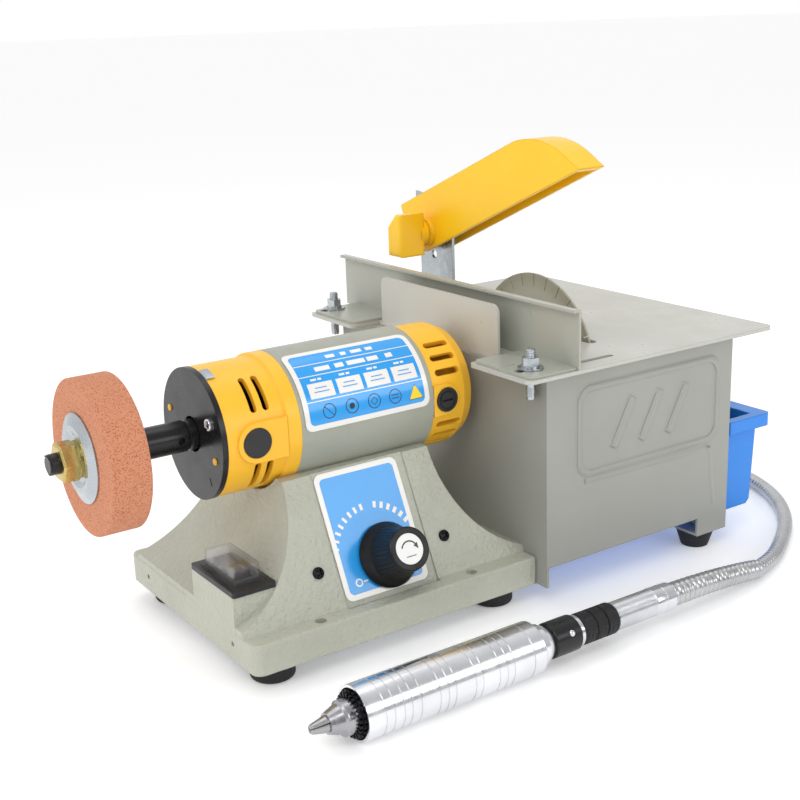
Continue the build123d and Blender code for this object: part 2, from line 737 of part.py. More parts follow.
with BuildPart() as commutator:
    with BuildSketch(across(BRUSH_X - 6)):
        Circle(COMMUTATOR_R)
        Circle(SHAFT_R + SLIP / 2, mode=Mode.SUBTRACT)
        with PolarLocations(COMMUTATOR_R, 20):
            Rectangle(1.2, 0.5, mode=Mode.SUBTRACT)
    extrude(amount=12)
save("commutator", commutator)

FAN_X = LEFT_BEARING_X + BEARING_W + 3
FAN_L = 12.0
FAN_R = TIE_AT - TIE_R - 3
with BuildPart() as cooling_fan:
    with BuildSketch(across(FAN_X)):
        Circle(FAN_R)
        Circle(SHAFT_R + SLIP / 2, mode=Mode.SUBTRACT)
    extrude(amount=1.8)
    with BuildSketch(across(FAN_X + 1.8)):
        Circle(8)
        Circle(SHAFT_R + SLIP / 2, mode=Mode.SUBTRACT)
        with PolarLocations((FAN_R + 7) / 2, 9):
            Rectangle(FAN_R - 7, 1.6)
    extrude(amount=FAN_L - 1.8)
save("cooling_fan", cooling_fan)

with BuildPart() as arbor:
    with BuildSketch(lengthwise()):
        with BuildLine():
            Polyline(
                (THREAD_END, 0),
                (THREAD_END, STUD_R - 1),
                (THREAD_END + 1, STUD_R),
                (ARBOR_END, STUD_R),
                (ARBOR_END, ARBOR_R - 0.5),
                (ARBOR_END + 0.5, ARBOR_R),
                (COVER_X - 5, ARBOR_R),
                (COVER_X - 4.4, ARBOR_R - 0.8),
                (COVER_X - 3.4, ARBOR_R - 0.8),
                (COVER_X - 2.8, ARBOR_R),
                (LEFT_BEARING_X - 1, ARBOR_R),
                (LEFT_BEARING_X - 1, SHAFT_R + SLIP / 2),
                (-10, SHAFT_R + SLIP / 2),
                (-10, 0),
                close=True,
            )
        make_face()
    revolve(axis=along_x())
    with BuildSketch(lengthwise().offset(ARBOR_R - 2.5)):
        with Locations((COVER_X - 9, 0)):
            Circle(1.8)
    extrude(amount=4, mode=Mode.SUBTRACT)
save("arbor", arbor)

with BuildPart() as grinding_wheel:
    with BuildSketch(across(WHEEL_X)):
        Circle(WHEEL_R)
        Circle(STUD_R + SLIP / 2, mode=Mode.SUBTRACT)
    extrude(amount=-WHEEL_W)
    fillet(grinding_wheel.edges().filter_by(GeomType.CIRCLE).group_by(SortBy.RADIUS)[-1], radius=0.8)
save("grinding_wheel", grinding_wheel)

WHEEL_LEFT = WHEEL_X - WHEEL_W
DISH = 3.2
DISH_R = 21.6
with BuildPart() as wheel_flanges:
    with BuildSketch(lengthwise()):
        with BuildLine():
            Polyline(
                (WHEEL_LEFT, STUD_R + SLIP / 2),
                (WHEEL_LEFT, DISH_R),
                (WHEEL_LEFT - 0.9, DISH_R),
                (WHEEL_LEFT - DISH, DISH_R - 5.5),
                (WHEEL_LEFT - DISH, DISH_R - 8),
                (WHEEL_LEFT - 1.8, DISH_R - 10.5),
                (WHEEL_LEFT - 1.8, STUD_R + SLIP / 2),
                close=True,
            )
        make_face()
    revolve(axis=along_x())
    with BuildSketch(across(WHEEL_X)):
        Circle(16)
        Circle(STUD_R + SLIP / 2, mode=Mode.SUBTRACT)
    extrude(amount=ARBOR_END - WHEEL_X)
NUT_L = 8.0
NUT_AF = 17.0
NUT_X = WHEEL_LEFT - 1.8
with BuildPart() as spindle_nuts:
    with BuildSketch(across(NUT_X)):
        Circle(8.9)
        Circle(STUD_R + SLIP / 2, mode=Mode.SUBTRACT)
    extrude(amount=-1.6)
    with BuildSketch(across(NUT_X - 1.6)):
        RegularPolygon(NUT_AF / 2, 6, major_radius=False)
        Circle(STUD_R + SLIP / 2, mode=Mode.SUBTRACT)
    extrude(amount=-NUT_L)
    chamfer(spindle_nuts.edges().group_by(Axis.X)[0].filter_by(GeomType.LINE), length=0.8)
    with BuildSketch(across(BLADE_LEFT + BLADE_T + FLANGE_T)):
        RegularPolygon(6.5, 6, major_radius=False)
        Circle(SHAFT_R + SLIP / 2, mode=Mode.SUBTRACT)
    extrude(amount=6.5)
save("spindle_nuts", spindle_nuts)

SLIT_D = 8.0
with BuildPart() as saw_blade:
    with BuildSketch(across(BLADE_LEFT)):
        Circle(BLADE_R)
        Circle(SHAFT_R + SLIP / 2, mode=Mode.SUBTRACT)
        with PolarLocations(BLADE_R - SLIT_D / 2 + 0.5, 28):
            Rectangle(SLIT_D, 0.7, mode=Mode.SUBTRACT)
    extrude(amount=BLADE_T)
save("saw_blade", saw_blade)

with BuildPart() as blade_flanges:
    for start in (BLADE_LEFT - FLANGE_T, BLADE_LEFT + BLADE_T):
        with BuildSketch(across(start)):
            Circle(15)
            Circle(SHAFT_R + SLIP / 2, mode=Mode.SUBTRACT)
        extrude(amount=FLANGE_T)

with BuildPart() as clamping_flanges:
    add(wheel_flanges.part)
    add(blade_flanges.part)
save("clamping_flanges", clamping_flanges)

# ================================================================ controls
LABEL_W = 48.6
LABEL_H = 64.0
LABEL_X = 81.4
LABEL_MID_Z = (FLANGE_H + PEDESTAL_H) / 2 + 0.4
PANEL_DEEP = -0.7
with BuildPart() as control_label:
    with BuildSketch(on_face(LABEL_X, LABEL_MID_Z, PANEL_DEEP + 0.01)):
        RectangleRounded(LABEL_W, LABEL_H, 3.5)
        with Locations((KNOB_X - LABEL_X, (KNOB_Z - LABEL_MID_Z) * FACE_LEN)):
            Circle(5.5, mode=Mode.SUBTRACT)
    extrude(amount=LABEL_T)
save("control_label", control_label)

KNOB_GAP = 0.6
POT_SHAFT_R = 3.0
with BuildPart() as speed_knob:
    with BuildSketch(on_face(KNOB_X, KNOB_Z, KNOB_GAP)):
        Circle(KNOB_R)
    extrude(amount=5.5)
    with BuildSketch(on_face(KNOB_X, KNOB_Z, KNOB_GAP + 5.5)):
        Circle(KNOB_R - 1.2)
        with PolarLocations(KNOB_R - 0.6, 30):
            Circle(0.8, mode=Mode.SUBTRACT)
    extrude(amount=KNOB_H - 5.5, taper=15)
    with BuildSketch(on_face(KNOB_X, KNOB_Z, KNOB_GAP)):
        Circle(POT_SHAFT_R + SLIP)
    extrude(amount=10, mode=Mode.SUBTRACT)
    with BuildSketch(on_face(KNOB_X, KNOB_Z, KNOB_GAP)):
        Circle(6)
    extrude(amount=2.4, mode=Mode.SUBTRACT)
save("speed_knob", speed_knob)

FACE_INNER = -(CAST_WALL + 0.6) / FACE_LEN - 0.2
with BuildPart() as potentiometer:
    with BuildSketch(on_face(KNOB_X, KNOB_Z, FACE_INNER)):
        Circle(8)
    extrude(amount=-9)
    with BuildSketch(on_face(KNOB_X, KNOB_Z, FACE_INNER)):
        Circle(3.5)
    extrude(amount=-FACE_INNER + 1.6)
    with BuildSketch(on_face(KNOB_X, KNOB_Z, 1.0)):
        Circle(5.2)
    extrude(amount=-1.0 + PANEL_DEEP + LABEL_T + 0.3)
    with BuildSketch(on_face(KNOB_X, KNOB_Z, 1.6)):
        Circle(POT_SHAFT_R)
    extrude(amount=8)
save("potentiometer", potentiometer)

with BuildPart() as speed_control_board:
    with BuildSketch(on_face(KNOB_X, KNOB_Z, FACE_INNER - 9)):
        with Locations((0, 6)):
            Rectangle(52, 36)
    extrude(amount=-1.6)
    with BuildSketch(on_face(KNOB_X, KNOB_Z, FACE_INNER - 10.6)):
        with Locations((-14, 8), (0, 16)):
            Circle(4.5)
        with Locations((14, 6)):
            Rectangle(10, 16)
    extrude(amount=-8)
save("speed_control_board", speed_control_board)

BODY_D = 18.0
with BuildPart() as switch_body:
    with BuildSketch(Plane.XY.offset(BEZEL_TOP - BODY_D)):
        with Locations((SWITCH_X, SWITCH_Y)):
            Rectangle(SWITCH_HOLE_W - 2 * SLIP, SWITCH_HOLE_L - 2 * SLIP)
    extrude(amount=BODY_D + 1.5)
    with BuildSketch(Plane.XY.offset(BEZEL_TOP - 6)):
        with Locations((SWITCH_X, SWITCH_Y)):
            Rectangle(SWITCH_HOLE_W - 3, SWITCH_HOLE_L - 5)
    extrude(amount=8, mode=Mode.SUBTRACT)
    with BuildSketch(Plane.XY.offset(BEZEL_TOP - BODY_D)):
        with Locations((SWITCH_X, SWITCH_Y)):
            with GridLocations(5, 9, 2, 2):
                Rectangle(0.8, 4)
    extrude(amount=-6)
save("switch_body", switch_body)

with BuildPart() as switch_bezel:
    with BuildSketch(Plane.XY.offset(BEZEL_TOP - BEZEL_T)):
        with Locations((SWITCH_X, SWITCH_Y)):
            RectangleRounded(BEZEL_W, BEZEL_L, 1.5)
            Rectangle(SWITCH_HOLE_W, SWITCH_HOLE_L, mode=Mode.SUBTRACT)
    extrude(amount=BEZEL_T)
save("switch_bezel", switch_bezel)

BOOT_W = 17.0
BOOT_L = 34.0
BOOT_H = 9.0
BOOT_T = 0.9
with BuildPart() as switch_boot:
    with BuildSketch(Plane.XY.offset(BEZEL_TOP)):
        with Locations((SWITCH_X, SWITCH_Y)):
            RectangleRounded(BOOT_W + 2, BOOT_L + 2, 1.5)
            Rectangle(SWITCH_HOLE_W, SWITCH_HOLE_L, mode=Mode.SUBTRACT)
    extrude(amount=1.6)
    with BuildSketch(Plane.XY.offset(BEZEL_TOP + 1.6)):
        with Locations((SWITCH_X, SWITCH_Y)):
            RectangleRounded(BOOT_W - 1.6, BOOT_L - 1.6, 1.5)
    extrude(amount=BOOT_H - 1.6, taper=8)
    with BuildSketch(Plane.XY.offset(BEZEL_TOP)):
        with Locations((SWITCH_X, SWITCH_Y)):
            Rectangle(BOOT_W - 1.6 - 2 * BOOT_T, BOOT_L - 1.6 - 2 * BOOT_T)
    extrude(amount=BOOT_H - BOOT_T, taper=8, mode=Mode.SUBTRACT)
save("switch_boot", switch_boot)

ROCKER_PIVOT_Z = BEZEL_TOP - 0.5
ROCKER_L = 20.0
ROCKER_TILT = 6.0
with BuildPart() as rocker:
    with BuildSketch(Plane.YZ.offset(SWITCH_X - 4.4)):
        with BuildLine():
            Polyline(
                (SWITCH_Y - ROCKER_L / 2, BEZEL_TOP + 3.9),
                (SWITCH_Y, BEZEL_TOP + 3.0),
                (SWITCH_Y + ROCKER_L / 2, BEZEL_TOP + 5.6),
                (SWITCH_Y + ROCKER_L / 2, BEZEL_TOP + 2.9),
                (SWITCH_Y + 4, BEZEL_TOP - 3),
                (SWITCH_Y - 4, BEZEL_TOP - 3),
                (SWITCH_Y - ROCKER_L / 2, BEZEL_TOP + 1.2),
                close=True,
            )
        make_face()
    extrude(amount=8.8)
    with BuildSketch(Plane.YZ.offset(SWITCH_X - (SWITCH_HOLE_W - 3) / 2 + SLIP)):
        with Locations((SWITCH_Y, ROCKER_PIVOT_Z)):
            Circle(1.3)
    extrude(amount=SWITCH_HOLE_W - 3 - 2 * SLIP)
save("rocker", rocker)

with BuildPart() as cable_gland:
    with BuildSketch(Plane.XZ.offset(-(BASE_D - CAST_WALL - 1))):
        with Locations((GLAND_X, GLAND_Z)):
            Circle(GLAND_R)
    extrude(amount=-(CAST_WALL + 1))
    with BuildSketch(Plane.XZ.offset(-BASE_D)):
        with Locations((GLAND_X, GLAND_Z)):
            Circle(GLAND_R + 2)
    extrude(amount=-5)
    with BuildSketch(Plane.XZ.offset(-(BASE_D + 5))):
        with Locations((GLAND_X, GLAND_Z)):
            Circle(3)
    extrude(amount=9, mode=Mode.SUBTRACT)
save("cable_gland", cable_gland)

# ================================================================ saw box and table
LEG_X = BOX_END - 24
FRAME_X0 = BOX_X + 20
FRAME_X1 = BOX_END - 11
FRAME_Z0 = 56.0
FRAME_Z1 = 105.0
PORT_TOP = TRAY_TOP + 5
BOX_FOOT_INSET = 12.5
BOX_FOOT_SPOTS = [
    (BOX_END - BOX_FOOT_INSET, BOX_FRONT + BOX_FOOT_INSET),
    (BOX_END - BOX_FOOT_INSET, BOX_BACK - BOX_FOOT_INSET),
]
RAIL_END = LEG_X - 14
with BuildPart() as saw_box:
    # left wall, down to the casting's bottom, with a hole for the shaft
    with BuildSketch(Plane.YZ.offset(BOX_X)):
        with Locations(((BOX_FRONT + BOX_BACK) / 2, TABLE_UNDER / 2)):
            Rectangle(BOX_D, TABLE_UNDER)
        with Locations((AXIS_Y, AXIS_Z)):
            Circle(SAW_SHAFT_R + 4, mode=Mode.SUBTRACT)
        with Locations((30, 8), (BASE_D - 30, 8)):
            Circle(SCREW_R + SLIP, mode=Mode.SUBTRACT)
    extrude(amount=BOX_T)
    # front and back walls, each with a leg at its right end and a rail bent inwards
    for y0, y1, inward in ((BOX_FRONT, BOX_FRONT + BOX_T, 1), (BOX_BACK - BOX_T, BOX_BACK, -1)):
        with BuildSketch(Plane.XZ.offset(-y1)):
            with BuildLine():
                Polyline(
                    (BOX_X, BOX_SKIRT),
                    (LEG_X, BOX_SKIRT),
                    (LEG_X, 0),
                    (BOX_END, 0),
                    (BOX_END, TABLE_UNDER),
                    (BOX_X, TABLE_UNDER),
                    close=True,
                )
            make_face()
        extrude(amount=y1 - y0)
        rail_y = y1 if inward > 0 else y0
        with BuildSketch(Plane.XY.offset(BOX_SKIRT)):
            with Locations(((BOX_X + RAIL_END) / 2, rail_y + inward * 4)):
                Rectangle(RAIL_END - BOX_X, 8)
        extrude(amount=BOX_T)
        with BuildSketch():
            with Locations(((LEG_X + BOX_END) / 2, rail_y + inward * 11)):
                Rectangle(BOX_END - LEG_X, 22)
        extrude(amount=BOX_T)
    # right wall above the tray's port, and the two uprights beside the port
    with BuildSketch(Plane.YZ.offset(BOX_END - BOX_T)):
        with Locations(((BOX_FRONT + BOX_BACK) / 2, (TABLE_UNDER + PORT_TOP) / 2)):
            Rectangle(BOX_D, TABLE_UNDER - PORT_TOP)
        with Locations((BOX_FRONT + 1.75, TABLE_UNDER / 2), (BOX_BACK - 1.75, TABLE_UNDER / 2)):
            Rectangle(3.5, TABLE_UNDER)
    extrude(amount=BOX_T)
    fillet(
        saw_box.edges().filter_by(Axis.Z).group_by(Axis.Y)[0].sort_by(Axis.X)[-1],
        radius=1.2,
    )
    # raised frame on the front wall with three slanting ribs
    with BuildSketch(Plane.XZ.offset(-BOX_FRONT)):
        with Locations(((FRAME_X0 + FRAME_X1) / 2, (FRAME_Z0 + FRAME_Z1) / 2)):
            RectangleRounded(FRAME_X1 - FRAME_X0, FRAME_Z1 - FRAME_Z0, 9)
            RectangleRounded(FRAME_X1 - FRAME_X0 - 6, FRAME_Z1 - FRAME_Z0 - 6, 7, mode=Mode.SUBTRACT)
            with GridLocations(20, 0, 3, 1):
                SlotOverall(28, 5, rotation=62)
    extrude(amount=0.9)
    with BuildSketch():
        with Locations(*BOX_FOOT_SPOTS):
            Circle(SCREW_R + SLIP)
    extrude(amount=BOX_T, mode=Mode.SUBTRACT)
save("saw_box", saw_box)

BOX_FOOT_R = 11.2
with BuildPart() as box_feet:
    with BuildSketch():
        with Locations(*BOX_FOOT_SPOTS):
            Circle(BOX_FOOT_R)
    extrude(amount=-FOOT_H, taper=18)
    with BuildSketch():
        with Locations(*BOX_FOOT_SPOTS):
            Circle(SCREW_R + SLIP)
    extrude(amount=-FOOT_H, mode=Mode.SUBTRACT)
    with BuildSketch(Plane.XY.offset(FLOOR)):
        with Locations(*BOX_FOOT_SPOTS):
            Circle(3.2)
    extrude(amount=4, mode=Mode.SUBTRACT)
save("box_feet", box_feet)

with BuildPart() as foot_screws:
    with BuildSketch(Plane.XY.offset(FLOOR + 3)):
        with Locations(*FOOT_SPOTS, *BOX_FOOT_SPOTS):
            Circle(2.9)
    extrude(amount=1)
    with BuildSketch(Plane.XY.offset(FLOOR + 4)):
        with Locations(*FOOT_SPOTS):
            Circle(SCREW_R)
    extrude(amount=FOOT_H - 4 + 8)
    with BuildSketch(Plane.XY.offset(FLOOR + 4)):
        with Locations(*BOX_FOOT_SPOTS):
            Circle(SCREW_R)
    extrude(amount=FOOT_H - 4 + BOX_T + 2.2)
    with BuildSketch(Plane.XY.offset(BOX_T)):
        with Locations(*BOX_FOOT_SPOTS):
            RegularPolygon(2.75, 6, major_radius=False)
    extrude(amount=2)
save("foot_screws", foot_screws)

FRONT_EAR = (TABLE_FRONT, TABLE_FRONT + EAR_W)
REAR_EAR = (TABLE_BACK - EAR_W, TABLE_BACK)
SLOT_FRONT = AXIS_Y - sqrt(BLADE_R ** 2 - (TABLE_UNDER - AXIS_Z) ** 2) - 3
SLOT_BACK = 2 * AXIS_Y - SLOT_FRONT
FENCE_BOLT_YS = (TABLE_FRONT + 14.5, TABLE_BACK - 8)
SIGHT_SLOT_X = FENCE_X + 22
BRACKET_FOOT = 18.0
BRACKET_SCREW_YS = (PIVOT_Y - 8, PIVOT_Y + 12)
BRACKET_SCREW_X = BLADE_X + STRIP_T / 2 + 11
with BuildPart() as saw_table:
    with BuildSketch(Plane.XY.offset(TABLE_UNDER)):
        with Locations(((TABLE_LEFT + TABLE_RIGHT) / 2, (TABLE_FRONT + TABLE_BACK) / 2)):
            Rectangle(TABLE_RIGHT - TABLE_LEFT, TABLE_D)
        for ear in (FRONT_EAR, REAR_EAR):
            with Locations(((EAR_LEFT + TABLE_LEFT) / 2 + 2, sum(ear) / 2)):
                Rectangle(TABLE_LEFT - EAR_LEFT + 4, EAR_W)
    extrude(amount=TABLE_T)
    corners = saw_table.edges().filter_by(Axis.Z)
    fillet(corners.group_by(Axis.X)[-1], radius=5)
    fillet(saw_table.edges().filter_by(Axis.Z).group_by(Axis.X)[0], radius=4)
    with BuildSketch(Plane.XY.offset(TABLE_UNDER)):
        with Locations((BLADE_X, AXIS_Y)):
            SlotOverall(SLOT_BACK - SLOT_FRONT, SLOT_W, rotation=90)
        with Locations((SIGHT_SLOT_X, TABLE_FRONT + 12)):
            SlotOverall(24, 3.6)
        for bolt_y in FENCE_BOLT_YS:
            with Locations((FENCE_BOLT_X, bolt_y)):
                Circle(FENCE_BOLT_R + SLIP)
        for screw_y in BRACKET_SCREW_YS:
            with Locations((BRACKET_SCREW_X, screw_y)):
                Circle(SCREW_R + SLIP)
    extrude(amount=TABLE_T, mode=Mode.SUBTRACT)
    # tongue bent up from the left edge, between the two ears
    with BuildSketch(Plane.YZ.offset(TABLE_LEFT)):
        with Locations(((FRONT_EAR[1] + REAR_EAR[0]) / 2 - 2.1, TABLE_TOP + TONGUE_H / 2)):
            Rectangle(REAR_EAR[0] - FRONT_EAR[1] - 2, TONGUE_H)
    extrude(amount=FENCE_T)
    tongue_top = saw_table.edges().filter_by(Axis.X).group_by(Axis.Z)[-1]
    fillet(tongue_top, radius=5)
save("saw_table", saw_table)

# ---------------------------------------------------------------- fence
SLOT_MID_X = FENCE_BOLT_X - 1.0
TAB_LEFT = EAR_LEFT + 2
with BuildPart() as fence:
    with BuildSketch(Plane.YZ.offset(FENCE_X)):
        with Locations(((TABLE_FRONT + FENCE_BACK) / 2, (TABLE_TOP + FENCE_TOP) / 2)):
            Rectangle(FENCE_L, FENCE_H)
    extrude(amount=FENCE_T)
    with BuildSketch(Plane.XY.offset(FENCE_TOP - FENCE_T)):
        with Locations((FENCE_X - LIP_W / 2, (TABLE_FRONT + FENCE_BACK) / 2)):
            Rectangle(LIP_W, FENCE_L)
    extrude(amount=FENCE_T)
    for ear in (FRONT_EAR, REAR_EAR):
        with BuildSketch(Plane.XY.offset(TABLE_TOP)):
            with Locations(((TAB_LEFT + FENCE_X) / 2, sum(ear) / 2)):
                Rectangle(FENCE_X - TAB_LEFT, EAR_W - 3)
        extrude(amount=FENCE_T)
    fillet(fence.edges().filter_by(Axis.Z).group_by(Axis.X)[0], radius=4)
    fillet(fence.edges().filter_by(Axis.Y).group_by(Axis.Z)[-1].sort_by(Axis.X)[-1], radius=1.2)
    with BuildSketch(Plane.XY.offset(TABLE_TOP)):
        for bolt_y in FENCE_BOLT_YS:
            with Locations((SLOT_MID_X, bolt_y)):
                SlotOverall(FENCE_SLOT_L, 2 * FENCE_BOLT_R + 0.6)
    extrude(amount=FENCE_T, mode=Mode.SUBTRACT)
save("fence", fence)

BOLT_TOP = TABLE_TOP + 12
BOLT_LOW = TABLE_UNDER - 12
WASHER_Z = TABLE_TOP + FENCE_T + 0.05
with BuildPart() as fence_bolts:
    with BuildSketch(Plane.XY.offset(BOLT_LOW)):
        for bolt_y in FENCE_BOLT_YS:
            with Locations((FENCE_BOLT_X, bolt_y)):
                Circle(FENCE_BOLT_R)
    extrude(amount=BOLT_TOP - BOLT_LOW)
    chamfer(fence_bolts.edges().group_by(Axis.Z)[-1], length=0.6)
save("fence_bolts", fence_bolts)

with BuildPart() as fence_nuts:
    for bolt_y in FENCE_BOLT_YS:
        spot = (FENCE_BOLT_X, bolt_y)
        with BuildSketch(Plane.XY.offset(WASHER_Z)):
            with Locations(spot):
                Circle(6.6)
                Circle(FENCE_BOLT_R + SLIP / 2, mode=Mode.SUBTRACT)
        extrude(amount=1.1)
        with BuildSketch(Plane.XY.offset(WASHER_Z + 1.1)):
            with Locations(spot):
                Circle(4.6)
                Circle(FENCE_BOLT_R + SLIP / 2, mode=Mode.SUBTRACT)
        extrude(amount=1.1)
        with BuildSketch(Plane.XY.offset(WASHER_Z + 2.2)):
            with Locations(spot):
                RegularPolygon(4, 6, major_radius=False)
                Circle(FENCE_BOLT_R + SLIP / 2, mode=Mode.SUBTRACT)
        extrude(amount=4)
        with BuildSketch(Plane.XY.offset(TABLE_UNDER)):
            with Locations(spot):
                Circle(4.2)
                Circle(FENCE_BOLT_R + SLIP / 2, mode=Mode.SUBTRACT)
        extrude(amount=-4, taper=18)
save("fence_nuts", fence_nuts)

# ---------------------------------------------------------------- guard and its bracket
TILT = radians(GUARD_TILT)
GUARD_LEFT = BLADE_X - GUARD_W / 2


def on_guard(along, up):
    """Point in the side view: along the guard's lower edge from the pivot forwards, and up from it."""
    edge_drop = 10.9
    y = PIVOT_Y - along * cos(TILT) + (up - edge_drop) * sin(TILT)
    z = PIVOT_Z + along * sin(TILT) + (up - edge_drop) * cos(TILT)
    return (y, z)


GUARD_FRONT = 145.0
GUARD_TALL = 35.0


def guard_outline(inset):
    """Side view of the guard: straight below, rounded in front, rounded round the pivot behind."""
    low = -2 * inset
    rear_top = on_guard(-20 + inset, GUARD_TALL - 0.5 - inset)
    crest = on_guard(GUARD_FRONT - 45, GUARD_TALL - 3.2 - inset)
    brow = on_guard(GUARD_FRONT - 22 - 0.7 * inset, 23.5 - inset)
    nose = on_guard(GUARD_FRONT - 6 - 1.2 * inset, 8)
    nose_low = on_guard(GUARD_FRONT - 1.3 * inset, low)
    heel = on_guard(-6, low)
    heel_back = on_guard(-20 + inset, 6)
    with BuildSketch() as outline:
        with BuildLine():
            Line(rear_top, crest)
            ThreePointArc(crest, brow, nose)
            Polyline(nose, nose_low, heel, heel_back, rear_top)
        make_face()
    return outline.sketch


GUARD_OUTSIDE = guard_outline(0)
GUARD_INSIDE = guard_outline(GUARD_WALL)

with BuildPart() as saw_guard:
    with BuildSketch(Plane.YZ.offset(GUARD_LEFT)):
        add(GUARD_OUTSIDE)
    extrude(amount=GUARD_W)
    with BuildSketch(Plane.YZ.offset(GUARD_LEFT + GUARD_WALL)):
        add(GUARD_INSIDE)
    extrude(amount=GUARD_W - 2 * GUARD_WALL, mode=Mode.SUBTRACT)
    # the bracket stands in a slot in the roof and the back
    with BuildSketch(Plane.XY.offset(PIVOT_Z - 17)):
        with Locations((BLADE_X, PIVOT_Y + 16)):
            Rectangle(STRIP_T + 1.2, 48)
    extrude(amount=60, mode=Mode.SUBTRACT)
    with BuildSketch(Plane.YZ.offset(GUARD_LEFT - 3)):
        with Locations((PIVOT_Y, PIVOT_Z)):
            Circle(8.6)
    extrude(amount=3)
    with BuildSketch(Plane.YZ.offset(GUARD_LEFT - 4)):
        with Locations((PIVOT_Y, PIVOT_Z)):
            Circle(2.6)
    extrude(amount=GUARD_W + 5, mode=Mode.SUBTRACT)
save("saw_guard", saw_guard)

with BuildPart() as guard_bracket:
    with BuildSketch(Plane.YZ.offset(BLADE_X - STRIP_T / 2)):
        with BuildLine():
            Polyline(
                (PIVOT_Y - STRIP_W / 2 + 2, TABLE_TOP),
                (PIVOT_Y - STRIP_W / 2 + 2, PIVOT_Z + 4),
                (PIVOT_Y - STRIP_W / 2 + 9, PIVOT_Z + 15.5),
                (PIVOT_Y + 4, PIVOT_Z + 18),
                (PIVOT_Y + 12, PIVOT_Z + 21),
                (PIVOT_Y + STRIP_W / 2 + 6, PIVOT_Z + 22.5),
                (PIVOT_Y + STRIP_W / 2 + 6, PIVOT_Z + 14),
                (PIVOT_Y + STRIP_W / 2 + 2, PIVOT_Z + 8),
                (PIVOT_Y + STRIP_W / 2 + 2, TABLE_TOP),
                close=True,
            )
        make_face()
        with Locations((PIVOT_Y, PIVOT_Z)):
            Circle(2.6, mode=Mode.SUBTRACT)
        with Locations((PIVOT_Y + 4.4, PIVOT_Z - 15.2)):
            Circle(2.6, mode=Mode.SUBTRACT)
    extrude(amount=STRIP_T)
    with BuildSketch(Plane.XY.offset(TABLE_TOP)):
        with Locations((BLADE_X + BRACKET_FOOT / 2, PIVOT_Y + 2)):
            Rectangle(BRACKET_FOOT, STRIP_W)
        for screw_y in BRACKET_SCREW_YS:
            with Locations((BRACKET_SCREW_X, screw_y)):
                Circle(SCREW_R + SLIP, mode=Mode.SUBTRACT)
    extrude(amount=STRIP_T)
save("guard_bracket", guard_bracket)

KNOB_FACE = GUARD_LEFT - 3.3
KNOB_WING_L = 17.5
with BuildPart() as guard_knob:
    with BuildSketch(across(KNOB_FACE, PIVOT_Y, PIVOT_Z)):
        Circle(7.8)
    extrude(amount=-6)
    # a thick wing with one sloping shoulder
    with BuildSketch(across(KNOB_FACE - 4, PIVOT_Y, PIVOT_Z)):
        with BuildLine():
            Polyline((-7, -12.5), (-7, 13), (-1, 13), (7, 5), (7, -12.5), close=True)
        make_face()
    extrude(amount=-KNOB_WING_L)
    fillet(guard_knob.edges().group_by(Axis.X)[0], radius=2)
    with BuildSketch(across(KNOB_FACE, PIVOT_Y, PIVOT_Z)):
        Circle(2.5)
    extrude(amount=GUARD_W + 8)
    with BuildSketch(across(GUARD_LEFT + GUARD_W + 0.3, PIVOT_Y, PIVOT_Z)):
        RegularPolygon(4, 6, major_radius=False)
    extrude(amount=3.5)
save("guard_knob", guard_knob)

# ---------------------------------------------------------------- water tray
TRAY_LEFT = BOX_X + BOX_T + 2
TRAY_BODY_X = TRAY_RIM_X - 8
TRAY_BACK = TRAY_FRONT + TRAY_D
STEP_X = RAIL_END + 2
SHALLOW_Z = BOX_SKIRT + BOX_T + 0.1
DEEP_Z = 8.0


def tray_body(inset, lift):
    """Front view of the tray: shallow over the rails, deep at the open end."""
    with BuildSketch() as outline:
        with BuildLine():
            Polyline(
                (TRAY_LEFT + inset, SHALLOW_Z + inset),
                (STEP_X + inset, SHALLOW_Z + inset),
                (STEP_X + inset + 3, DEEP_Z + inset),
                (TRAY_BODY_X - inset - 6, DEEP_Z + inset),
                (TRAY_BODY_X - inset - 3.4, DEEP_Z + inset + 2.4),
                (TRAY_BODY_X - inset, TRAY_TOP + lift),
                (TRAY_LEFT + inset, TRAY_TOP + lift),
                close=True,
            )
        make_face()
    return outline.sketch


TRAY_OUTSIDE = tray_body(0, 0)
TRAY_INSIDE = tray_body(TRAY_T, 1)

with BuildPart() as water_tray:
    with BuildSketch(Plane.XZ.offset(-TRAY_BACK)):
        add(TRAY_OUTSIDE)
    extrude(amount=TRAY_D)
    with BuildSketch(Plane.XZ.offset(-TRAY_BACK + TRAY_T)):
        add(TRAY_INSIDE)
    extrude(amount=TRAY_D - 2 * TRAY_T, mode=Mode.SUBTRACT)
    with BuildSketch(Plane.XY.offset(TRAY_TOP - 7.5)):
        with Locations(((BOX_END + 1.5 + TRAY_RIM_X) / 2, (TRAY_FRONT + TRAY_BACK) / 2)):
            Rectangle(TRAY_RIM_X - BOX_END - 1.5, TRAY_D + 7)
        with Locations(((BOX_END - 20 + TRAY_BODY_X - TRAY_T) / 2, (TRAY_FRONT + TRAY_BACK) / 2)):
            Rectangle(TRAY_BODY_X - TRAY_T - BOX_END + 20, TRAY_D - 2 * TRAY_T, mode=Mode.SUBTRACT)
    extrude(amount=7.5)
    fillet(water_tray.edges().filter_by(Axis.Z).group_by(Axis.X)[-1], radius=3)
save("water_tray", water_tray)

